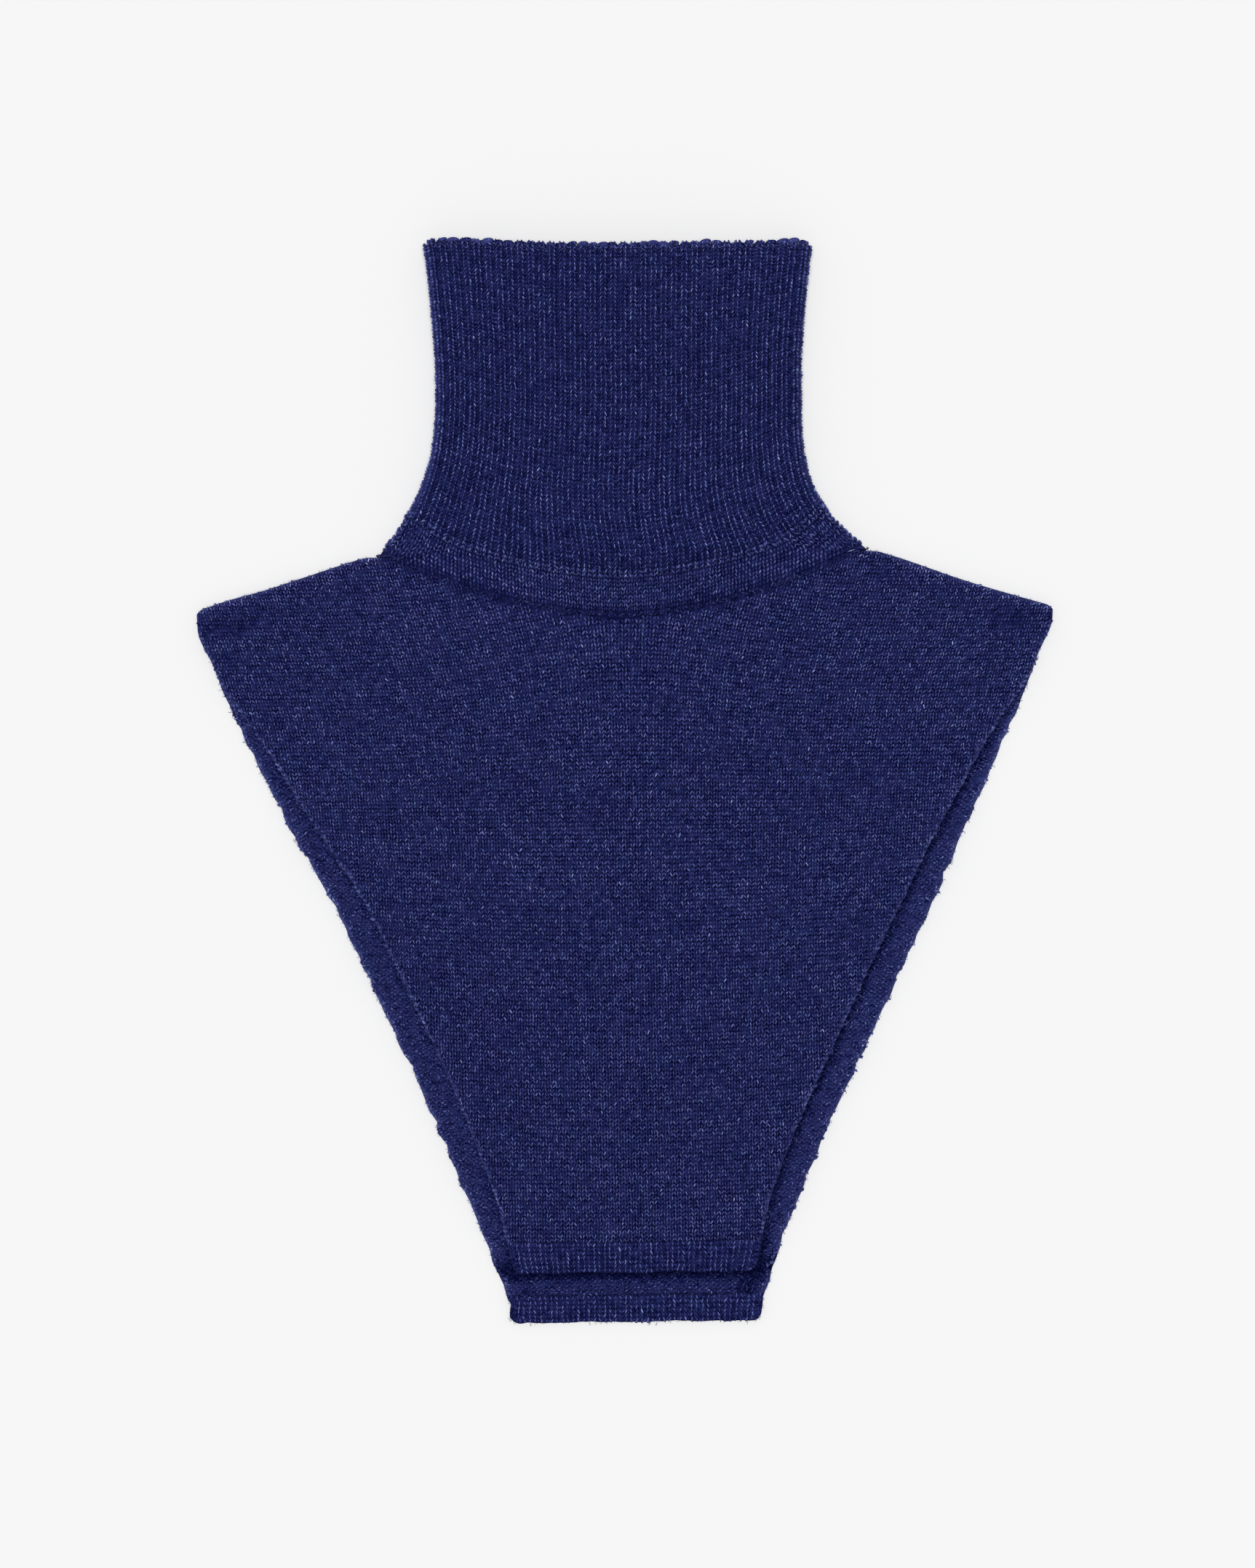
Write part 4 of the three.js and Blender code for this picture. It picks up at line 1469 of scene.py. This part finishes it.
# Painted shadow beside the front panel's edge and under the front hem, and a painted highlight along the back
# panel's rolled edge
LEFT_STRIP_PAINTED_SHADOW = 0.16
RIGHT_STRIP_PAINTED_SHADOW = 0.42
HEM_SHADOW = 0.75
STRIP_SHADOW_REACH = 2.8
ROLL_PAINTED_LIGHT = 0.05
ROLL_LIGHT_START = 0.5
ROLL_LIGHT_REACH = 4.5
RIM_PAINTED_LIGHT = 0.5
RIM_LIGHT_REACH = 2.4
BACK_NET_DROP = 34.0

# Painted light and shade: the shoulder folds are painted a little lighter, and the cloth below them and in
# the creases a little darker
FOLD_PAINTED_LIGHT = 0.2
FOLD_REACH = 5.0
UNDER_FOLD = 11.0
UNDER_FOLD_REACH = 4.5
UNDER_FOLD_PAINTED_SHADE = 0.09
CREASE_PAINTED_SHADE = 0.4


def jitter(net, amount, seed):
    """Moves each point of a net a little, as no hand-laid knit is even."""
    return net + np.random.default_rng(seed).normal(0, amount, net.shape)


def kept(net, part):
    """Which points of a net carry a leg: those of the part, a choice of its columns and rows."""
    keep = np.zeros(net.shape[:2], dtype=bool)
    keep[part] = True
    return keep


def shares_round(count, shift=0.0):
    """Shares of the way round the tube for count columns, with one more at each end."""
    return ((np.arange(-1, count + 1) + shift) / count)[:, None]


def rib_kinds(pair, single):
    """The two columns that take turns in a rib: name, which of the two, how far it stands out, its node
    tree, its legs and whether they lie across."""
    return (
        ("ridge", 0, RIB_DEPTH / 2, pair, RIDGE_LEGS, False),
        ("bump", 1, -RIB_DEPTH / 2, single, BUMP_LEGS, True),
    )


def shoulder_painted_light(x, y):
    """Painted light and shade on the front panel: lighter at the shoulder folds, darker below them and in
    creases.
    """
    below = panel_top(x, FRONT_NECK_DROP) - y
    on_shoulder = smoothstep(np.abs(x), HALF_NECK, HALF_NECK + FOLD_REACH)
    fold = FOLD_PAINTED_LIGHT * (1 - smoothstep(below, 0, FOLD_REACH))
    band = UNDER_FOLD_PAINTED_SHADE * np.exp(-(((below - UNDER_FOLD) / UNDER_FOLD_REACH) ** 2))
    return on_shoulder * (fold - band) - CREASE_PAINTED_SHADE * crease_depth(x, y) / PUFF_HEIGHT


def lay_front_loops(pair):
    x, y = wale_net()
    net = jitter(stack(x, y, front_top(x, y) - LOOP_SINK), PLAIN_JITTER, seed=51)
    inset = front_inset(x, y)
    on_neck = np.abs(x) <= HALF_NECK
    from_seam = np.where(on_neck, panel_top(x, FRONT_NECK_DROP) - y, np.inf)
    side_inset = front_half(x, y) - np.abs(x)
    inside = (inset > SHOULDER_MARGIN) & (side_inset > EDGE_MARGIN) & (from_seam > 0)
    inside = inside & (y > -FRONT_LENGTH + FRONT_HEM_HEIGHT - HEM_OVERLAP)
    # Painted light and shade round the shoulders and creases, and painted shade beside the neck seam
    lighter = shoulder_painted_light(x, y) - SEAM_PAINTED_SHADE * front_near_seam(x, y)
    pieces = []
    split = float(np.quantile(y[inside], 0.5))
    for part, keep in (("upper", inside & (y > split)), ("lower", inside & (y <= split))):
        name = f"front_loops_{part}"
        laid = lay_loops(name, net, keep, pair, "plain", seed=101, lighter=lighter, **PLAIN_LEGS)
        pieces.append(laid)
    return pieces


def in_strip(x, y):
    """Whether the back panel shows there, beside the front one or below it."""
    under_shoulder = y < panel_top(x, FRONT_NECK_DROP) - STRIP_START
    beside = (front_half(x, y) - np.abs(x) < STRIP_OVERLAP) & under_shoulder
    below = y < -FRONT_LENGTH + STRIP_OVERLAP
    return beside | below


def strip_painted_light(x, y):
    """Painted light and shade on the back panel: a painted highlight along its rolled edge, and painted
    shadow beside the front panel's edge and under the front hem."""
    inset = back_half(x, y) - np.abs(x)
    free = smoothstep(strip_at(y), *STRIP_OPENS)
    rolled = ROLL_PAINTED_LIGHT * (1 - smoothstep(inset, ROLL_LIGHT_START, ROLL_LIGHT_REACH))
    rolled = free * (rolled + RIM_PAINTED_LIGHT * (1 - smoothstep(inset, 0, RIM_LIGHT_REACH)))
    shadow = np.where(np.asarray(x) < 0, LEFT_STRIP_PAINTED_SHADOW, RIGHT_STRIP_PAINTED_SHADOW)
    beside = np.exp(-((np.maximum(np.abs(x) - front_half(x, y), 0) / STRIP_SHADOW_REACH) ** 2)) * free
    under = np.exp(-((np.maximum(-FRONT_LENGTH - y, 0) / STRIP_SHADOW_REACH) ** 2))
    dark = np.where(np.abs(x) > front_half(x, y) - STRIP_OVERLAP, shadow * beside, 0)
    dark = np.maximum(dark, np.where(y < -FRONT_LENGTH + STRIP_OVERLAP, HEM_SHADOW * under, 0))
    return rolled - dark


def lay_back_loops(pair):
    """Purl loops on what shows of the back panel: the side strips and the stretch above its hem."""
    x, y = wale_net()
    y = y - BACK_NET_DROP
    inset = back_half(x, y) - np.abs(x)
    above_hem = y > -BACK_LENGTH + BACK_HEM_HEIGHT + PIECE_GAP
    keep = (inset > BACK_MARGIN) & in_strip(x, y) & above_hem
    net = jitter(stack(x, y, back_top(x, y) - LOOP_SINK), PURL_JITTER, seed=52)
    # Painted highlight along the rolled edge and painted shadow beside the front panel and under its hem
    light = strip_painted_light(x, y)
    return lay_loops("back_loops", net, keep, pair, "purl", seed=102, across=True, lighter=light, **PURL_LEGS)


def scatter(count, seed, keep):
    """Random places on the panels, in plan, where keep holds."""
    random = np.random.default_rng(seed)
    x = random.uniform(-HALF_SPAN, HALF_SPAN, count)
    y = random.uniform(-BACK_LENGTH, -SHOULDER_DROP, count)
    chosen = keep(x, y)
    return x[chosen], y[chosen]


def lay_fuzz(name, points, tone, tree, seed, **sizes):
    """Lays fine fibres on the points, each as light as tone says."""
    mesh = bpy.data.meshes.new(name)
    mesh.from_pydata(in_frame(points).tolist(), [], [])
    for label, way in (("side", (1.0, 0.0, 0.0)), ("run", (0.0, 1.0, 0.0))):
        ways = np.tile(way, len(points))
        mesh.attributes.new(label, "FLOAT_VECTOR", "POINT").data.foreach_set("vector", ways)
    tones = np.broadcast_to(np.asarray(tone, dtype=float), (len(points),)).copy()
    mesh.attributes.new("streak", "FLOAT", "POINT").data.foreach_set("value", tones)
    return grow(name, mesh, tree, dict(sizes, Seed=seed, Yarn=YARN["fuzz"]))


def lay_strip_curls(fuzz):
    """Short curls of yarn that hide the purl rows on the back panel's strips."""
    def shows(x, y):
        inside = back_half(x, y) - np.abs(x) > 0
        beside = in_strip(x, y) & (front_half(x, y) - np.abs(x) < CURL_MARGIN)
        return inside & (beside | (y < -FRONT_LENGTH - CURL_MARGIN))

    x, y = scatter(CURL_TRIES, seed=61, keep=shows)
    points = stack(x, y, back_top(x, y) + CURL_LIFT)
    # The curls take the strips' painted light and shadow as well
    return lay_fuzz("strip_curls", points, CURL_TONE + strip_painted_light(x, y), fuzz, seed=110, **CURLS)


def lay_edge_hairs(fuzz):
    """Fine hairs that stand out of the back panel's cut side edges."""
    random = np.random.default_rng(seed=62)
    y = random.uniform(-BACK_LENGTH, -SHOULDER_DROP - HAIR_START, HAIR_COUNT)
    side = random.choice([-1.0, 1.0], y.size)
    x = side * (back_half(side, y) - random.uniform(*HAIR_INSET, y.size))
    points = stack(x, y, back_top(x, y) * random.uniform(*HAIR_HEIGHT, y.size))
    return lay_fuzz("edge_hairs", points, HAIR_TONE, fuzz, seed=111, **HAIRS)


def lay_hem_hairs(fuzz):
    """Short hairs along the back hem's lower edge."""
    random = np.random.default_rng(seed=66)
    side = random.choice([-1.0, 1.0], HEM_HAIR_COUNT)
    half = back_half(side, -BACK_LENGTH)
    x = side * half * random.uniform(0, 1, side.size)
    y = hem_foot(x, half, BACK_LENGTH) + random.uniform(*HEM_HAIR_INSET, x.size)
    points = stack(x, y, random.uniform(HEM_HAIR_FOOT, RIB_WALL, x.size))
    return lay_fuzz("hem_hairs", points, HEM_HAIR_TONE, fuzz, seed=114, **HAIRS)


def lay_shoulder_hairs(fuzz):
    """Short hairs that soften the folded shoulder edges."""
    random = np.random.default_rng(seed=70)
    side = random.choice([-1.0, 1.0], SHOULDER_HAIR_COUNT)
    x = side * random.uniform(HALF_NECK, HALF_SPAN - TIP_RADIUS, side.size)
    y = panel_top(x, FRONT_NECK_DROP) - random.uniform(*SHOULDER_HAIR_INSET, x.size)
    points = stack(x, y, front_top(x, y) - random.uniform(*SHOULDER_HAIR_DEPTH, x.size))
    return lay_fuzz("shoulder_hairs", points, SHOULDER_HAIR_TONE, fuzz, seed=118, **HAIRS)


def lay_edge_threads(fuzz):
    """Pale curled threads that have come loose along the front panel's side edges."""
    random = np.random.default_rng(seed=67)
    y = random.uniform(-FRONT_LENGTH, -SHOULDER_DROP - THREAD_START, THREAD_COUNT)
    side = random.choice([-1.0, 1.0], y.size)
    x = side * (front_half(side, y) - random.uniform(*THREAD_INSET, y.size))
    points = stack(x, y, front_top(x, y) + random.uniform(*THREAD_LIFT, y.size))
    return lay_fuzz("edge_threads", points, THREAD_TONE, fuzz, seed=115, **THREADS)


def lay_strays(fuzz):
    """A few long stray fibres on the front panel."""
    def on_front(x, y):
        return (front_inset(x, y) > STRAY_MARGIN) & (y > -FRONT_LENGTH + STRAY_FOOT)

    x, y = scatter(STRAY_COUNT, seed=68, keep=on_front)
    points = stack(x, y, front_top(x, y) + STRAY_LIFT)
    return lay_fuzz("strays", points, STRAY_TONE, fuzz, seed=116, **STRAYS)


def lay_collar_strays(fuzz):
    """A few long stray fibres on the collar's front."""
    random = np.random.default_rng(seed=69)
    share = random.uniform(*COLLAR_STRAY_REACH, COLLAR_STRAY_COUNT)
    y = random.uniform(COLLAR_STRAY_FOOT, COLLAR_HEIGHT - STRAY_MARGIN, share.size)
    points = tube_point(share, y, RIB_WALL, RIB_DEPTH / 2, RIB_WALL / 2 + RIB_DEPTH)
    return lay_fuzz("collar_strays", points, STRAY_TONE, fuzz, seed=117, **STRAYS)


def collar_net(shift, offset):
    """Points on the collar's ribs, one column for each rib, with one more column and row at each end."""
    share = shares_round(NECK_RIBS, shift)
    up = ((np.arange(-1, COLLAR_ROWS + 1) + 0.5) / COLLAR_ROWS)[None, :]
    y = lerp(rib_foot(share), rim_height(share), up)
    return share, tube_point(share, y, RIB_WALL, RIB_DEPTH / 2, offset)


def lay_collar_loops(pair, single):
    pieces = []
    for part in ("front", "back"):
        for kind, second, depth, tree, sizes, across in rib_kinds(pair, single):
            share, net = collar_net(second / 2, RIB_WALL / 2 + depth - LOOP_SINK - RIB_SINK)
            keep = kept(net, np.s_[1:-1]) & ((share % 1 < 0.5) == (part == "front"))
            ragged = np.random.default_rng(seed=60).uniform(size=net.shape[0]) < 0.5
            keep[:, 0] &= ragged | (kind == "ridge")
            keep[:, -1] &= kind == "ridge"
            net = jitter(net, RIB_JITTER, seed=53)
            name = f"collar_{part}_{kind}_loops"
            # Painted light along the collar's side folds
            light = np.broadcast_to(SIDE_FOLD_PAINTED_LIGHT * near_fold(share), net.shape[:2])
            laid = lay_loops(name, net, keep, tree, "rib", seed=103, across=across, lighter=light, **sizes)
            pieces.append(laid)
    return pieces


def lay_rim_loops(round_loops):
    """The cast-off edge: one rounded loop over each rib, no two alike."""
    share = shares_round(NECK_RIBS)
    uneven = RIM_UNEVEN * np.random.default_rng(seed=64).normal(size=share.shape)
    y = rim_height(share) + RIM_LUMP_RISE + uneven + RIM_REACH * np.arange(-1, 2)[None, :]
    net = jitter(tube_point(share, y, RIB_WALL, RIB_DEPTH / 2, RIM_OUT), RIM_JITTER, seed=54)
    keep = kept(net, np.s_[1:-1, 1])
    return lay_loops("rim_loops", net, keep, round_loops, "rib", seed=104, across=True, **RIM_LEGS)


def lay_rim_legs(pair):
    """Legs of yarn that cross the cast-off edge."""
    share = shares_round(2 * NECK_RIBS)
    y = rim_height(share) + RIM_LEG_PITCH * np.arange(-3, 2)[None, :]
    arch = RIM_ARCH * np.abs(np.cos(math.pi * NECK_RIBS * share))
    out = RIB_WALL / 2 + arch - RIM_LEG_SINK
    net = jitter(tube_point(share, y, RIB_WALL, RIB_DEPTH / 2, out), RIM_LEG_JITTER, seed=65)
    keep = kept(net, np.s_[1:-1, 1:-1])
    return lay_loops("rim_legs", net, keep, pair, "rib", seed=113, across=True, **RIM_LEG_PAIRS)


def lay_band_loops(pair):
    """The plain rows of the band. The last row runs on into the foot of the ribs."""
    share = shares_round(2 * NECK_RIBS)
    up = ((np.arange(BAND_ROWS + 1) + 0.5) / BAND_ROWS)[None, :]
    sunk = near_seam(BAND_HEIGHT * up)
    y = seam_at(share) + SEAM_EDGE + BAND_HEIGHT * up
    out = KNIT_WALL / 2 - LOOP_SINK - SEAM_DIP * sunk + FOOT_RISE * smoothstep(up, FOOT_START, 1)
    net = jitter(tube_point(share, y, KNIT_WALL, 0, out), PLAIN_JITTER, seed=55)
    keep = kept(net, np.s_[1:-1])
    # Painted light along the side folds and painted shade beside the neck seam
    lighter = SIDE_FOLD_PAINTED_LIGHT * near_fold(share) - SEAM_PAINTED_SHADE * np.broadcast_to(sunk, net.shape[:2])
    return lay_loops("band_loops", net, keep, pair, "band", seed=105, lighter=lighter, **PLAIN_LEGS)


def lay_seam_loops(pair):
    share = shares_round(2 * NECK_RIBS)
    y = seam_at(share) + SEAM_HEIGHT / 2 * np.arange(-1, 2)[None, :]
    net = jitter(tube_point(share, y, KNIT_WALL, 0, KNIT_WALL / 2 - SEAM_DIP), SEAM_JITTER, seed=56)
    keep = kept(net, np.s_[1:-1, 1])
    return lay_loops("seam_loops", net, keep, pair, "seam", seed=106, across=True, **SEAM_LEGS)


def lay_hem_loops(name, length, height, half_at, base, pair, single):
    rows = round(height / HEM_ROW_PITCH)
    pieces = []
    for kind, second, depth, tree, sizes, across in rib_kinds(pair, single):
        x, y, _ = hem_plan(length, height, half_at, per_rib=2, rows=2 * rows)
        x, y = x[second::2, 1::2], y[second::2, 1::2]
        from_top = smoothstep(-length + height - y, 0, HEM_SINK_SHARE * height)
        sink = lerp(HEM_SINK, RIB_SINK, from_top)
        z = base + (RIB_WALL + RIB_DEPTH) / 2 + RIB_WALL / 2 + depth - LOOP_SINK - sink
        net = jitter(stack(x, y, z), HEM_JITTER, seed=57)
        keep = np.abs(x) < half_at(x, y) - HEM_MARGIN
        label = f"{name}_{kind}_loops"
        pieces.append(lay_loops(label, net, keep, tree, "rib", seed=107, across=across, **sizes))
    return pieces


def lay_edge_loops(name, half_at, top_at, foot, head, pair, yarn, sink, inset, spread):
    """The outermost stitches along both cut side edges of a panel, one above another from foot to head.
    They sink into the cloth, lie in from its edge by inset and stray by spread."""
    pieces = []
    for side, hand in ((-1, "left"), (1, "right")):
        y = np.arange(foot, head, EDGE_PITCH)[None, :]
        across = EDGE_REACH * np.arange(-1, 2)[:, None]
        x = side * (half_at(side, y) - inset) + across
        net = jitter(stack(x, y + 0 * x, top_at(x, y) - sink), spread, seed=58 + side)
        uneven = EDGE_LIGHT * soft_noise(y / EDGE_LIGHT_LENGTH, side, seed=72)
        light = np.broadcast_to(uneven, net.shape[:2])
        label = f"{name}_{hand}"
        keep = kept(net, 1)
        laid = lay_loops(label, net, keep, pair, yarn, seed=108 + side, lighter=light, **EDGE_LEGS)
        pieces.append(laid)
    return pieces


# Camera and light
PHOTO_HEIGHT = 2156
PHOTO_SCALE = 0.32 * MM
PHOTO_TURN = math.radians(-0.85)
PHOTO_CENTRE = (0.64 * MM, -1.1 * MM)
LENS = 100.0
SENSOR = 36.0
VIEW_REACH = 20

# Soft lamps: what they light, strength, apparent width and turn, both in degrees
LIGHTS = (
    ("garment", 2.2, 50, (0, 0, 0)),
    ("garment", 1.5, 24, (-34, -32, 0)),
    ("board", 2.7, 24, (0, 0, 0)),
)
SKY_STRENGTH = 0.3

# The board: how far it reaches each way, in metres, how far it lies under the garment, and its finish
BOARD_REACH = 8.0
BOARD_DROP = 0.15 * MM
BOARD_COLOUR = (0.8, 0.8, 0.8, 1)
BOARD_GRAIN = 900.0
BOARD_SMOOTHEST = 0.85
BOARD_ROUGHNESS_SPREAD = 0.1
BOARD_SHINE = 0.1


def make_camera():
    data = bpy.data.cameras.new("camera")
    data.lens = LENS
    data.sensor_width = SENSOR
    data.clip_end = VIEW_REACH
    camera = bpy.data.objects.new("camera", data)
    distance = PHOTO_HEIGHT * PHOTO_SCALE * LENS / SENSOR
    camera.location = (*PHOTO_CENTRE, distance)
    camera.rotation_euler = (0, 0, PHOTO_TURN)
    bpy.context.scene.collection.objects.link(camera)
    bpy.context.scene.camera = camera


def make_light(lit):
    """lit gives the collections that the lamps light."""
    for number, (target, strength, width, turn) in enumerate(LIGHTS):
        sun = bpy.data.lights.new(f"{target}_light_{number}", "SUN")
        sun.energy = strength
        sun.angle = math.radians(width)
        lamp = bpy.data.objects.new(sun.name, sun)
        lamp.rotation_euler = [math.radians(angle) for angle in turn]
        lamp.light_linking.receiver_collection = lit[target]
        bpy.context.scene.collection.objects.link(lamp)
    world = bpy.data.worlds.new("studio")
    world.use_nodes = True
    back = world.node_tree.nodes["Background"]
    back.inputs["Color"].default_value = (1, 1, 1, 1)
    back.inputs["Strength"].default_value = SKY_STRENGTH
    bpy.context.scene.world = world
    bpy.context.scene.view_settings.view_transform = "Standard"


def make_floor():
    mesh = bpy.data.meshes.new("floor")
    corners = ((-1, -1), (1, -1), (1, 1), (-1, 1))
    points = [(x * BOARD_REACH, y * BOARD_REACH, -BOARD_DROP) for x, y in corners]
    mesh.from_pydata(points, [], [(0, 1, 2, 3)])
    floor = bpy.data.objects.new("floor", mesh)
    bpy.context.scene.collection.objects.link(floor)
    material = bpy.data.materials.new("pale_board")
    material.use_nodes = True
    tree = material.node_tree
    shader = tree.nodes["Principled BSDF"]
    grain = add_node(tree, "ShaderNodeTexNoise", {"Scale": BOARD_GRAIN, "Detail": 3.0})
    rough = calc(tree, "MULTIPLY_ADD", grain.outputs[0], BOARD_ROUGHNESS_SPREAD, BOARD_SMOOTHEST)
    tree.links.new(rough, shader.inputs["Roughness"])
    shader.inputs["Base Color"].default_value = BOARD_COLOUR
    shader.inputs["Specular IOR Level"].default_value = BOARD_SHINE
    mesh.materials.append(material)
    return floor


def carry(pieces, node):
    """Pieces ride on the garment's one body, and the node's own part is hidden."""
    for piece in pieces:
        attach(piece, "root")
    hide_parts(node)


FRONT_EDGE_START = 6
BACK_EDGE_START = 22


def make_back_panel(pair, fuzz):
    back, area = make_back_cloth()
    edge = lay_edge_loops("back_edge_loops", back_half, back_top, -BACK_LENGTH + BACK_HEM_HEIGHT,
                          -SHOULDER_DROP - BACK_EDGE_START, pair, "purl", sink=0.3, inset=1.3, spread=0.3)
    laid = [lay_back_loops(pair), lay_strip_curls(fuzz), lay_edge_hairs(fuzz), *edge]
    carry([back, *laid], "back_panel")


def make_front_panel(pair, fuzz):
    front, area = make_front_cloth()
    edge = lay_edge_loops("front_edge_loops", front_half, front_top, -FRONT_LENGTH + FRONT_HEM_HEIGHT,
                          -SHOULDER_DROP - FRONT_EDGE_START, pair, "edge", sink=0.1, inset=1.0, spread=0.2)
    hairs = [lay_edge_threads(fuzz), lay_strays(fuzz), lay_shoulder_hairs(fuzz)]
    laid = [*lay_front_loops(pair), *edge, *hairs]
    carry([front, *laid], "front_panel")


def make_collar(pair, single, fuzz):
    collar, area = make_collar_cloth()
    rim = lay_rim_loops(loop_tree("round loops", (0,), ROUND_LEG))
    laid = [*lay_collar_loops(pair, single), rim, lay_rim_legs(pair), lay_collar_strays(fuzz)]
    carry([collar, *laid], "collar")


def make_band(pair):
    band, area = make_band_cloth()
    laid = [lay_band_loops(pair)]
    carry([band, *laid], "collar_base_band")


def make_neck_seam(pair):
    carry([make_seam_ring(), lay_seam_loops(pair)], "neck_seam")


def make_front_hem(pair, single):
    place = (FRONT_LENGTH, FRONT_HEM_HEIGHT, front_half, KNIT_WALL + PIECE_GAP)
    hem, area, width = make_hem_cloth("front_hem_cloth", *place)
    laid = lay_hem_loops("front_hem", *place, pair, single)
    carry([hem, *laid], "front_hem")


def make_back_hem(pair, single, fuzz):
    place = (BACK_LENGTH, BACK_HEM_HEIGHT, back_half, 0)
    hem, area, width = make_hem_cloth("back_hem_cloth", *place)
    laid = [*lay_hem_loops("back_hem", *place, pair, single), lay_hem_hairs(fuzz)]
    carry([hem, *laid], "back_hem")


def make_dickey():
    pair = loop_tree("paired legs", (-1, 1), SLIM_LEG)
    single = loop_tree("single legs", (0,), SLIM_LEG)
    fuzz = fuzz_tree()
    make_back_panel(pair, fuzz)
    make_front_panel(pair, fuzz)
    make_collar(pair, single, fuzz)
    make_band(pair)
    make_neck_seam(pair)
    make_front_hem(pair, single)
    make_back_hem(pair, single, fuzz)


def light_group(name, things):
    group = bpy.data.collections.new(name)
    for thing in things:
        group.objects.link(thing)
    return group


make_camera()
board = make_floor()
make_dickey()
knit = [thing for thing in bpy.data.objects if thing.type == "MESH" and thing != board]
make_light({"garment": light_group("garment", knit), "board": light_group("board", [board])})
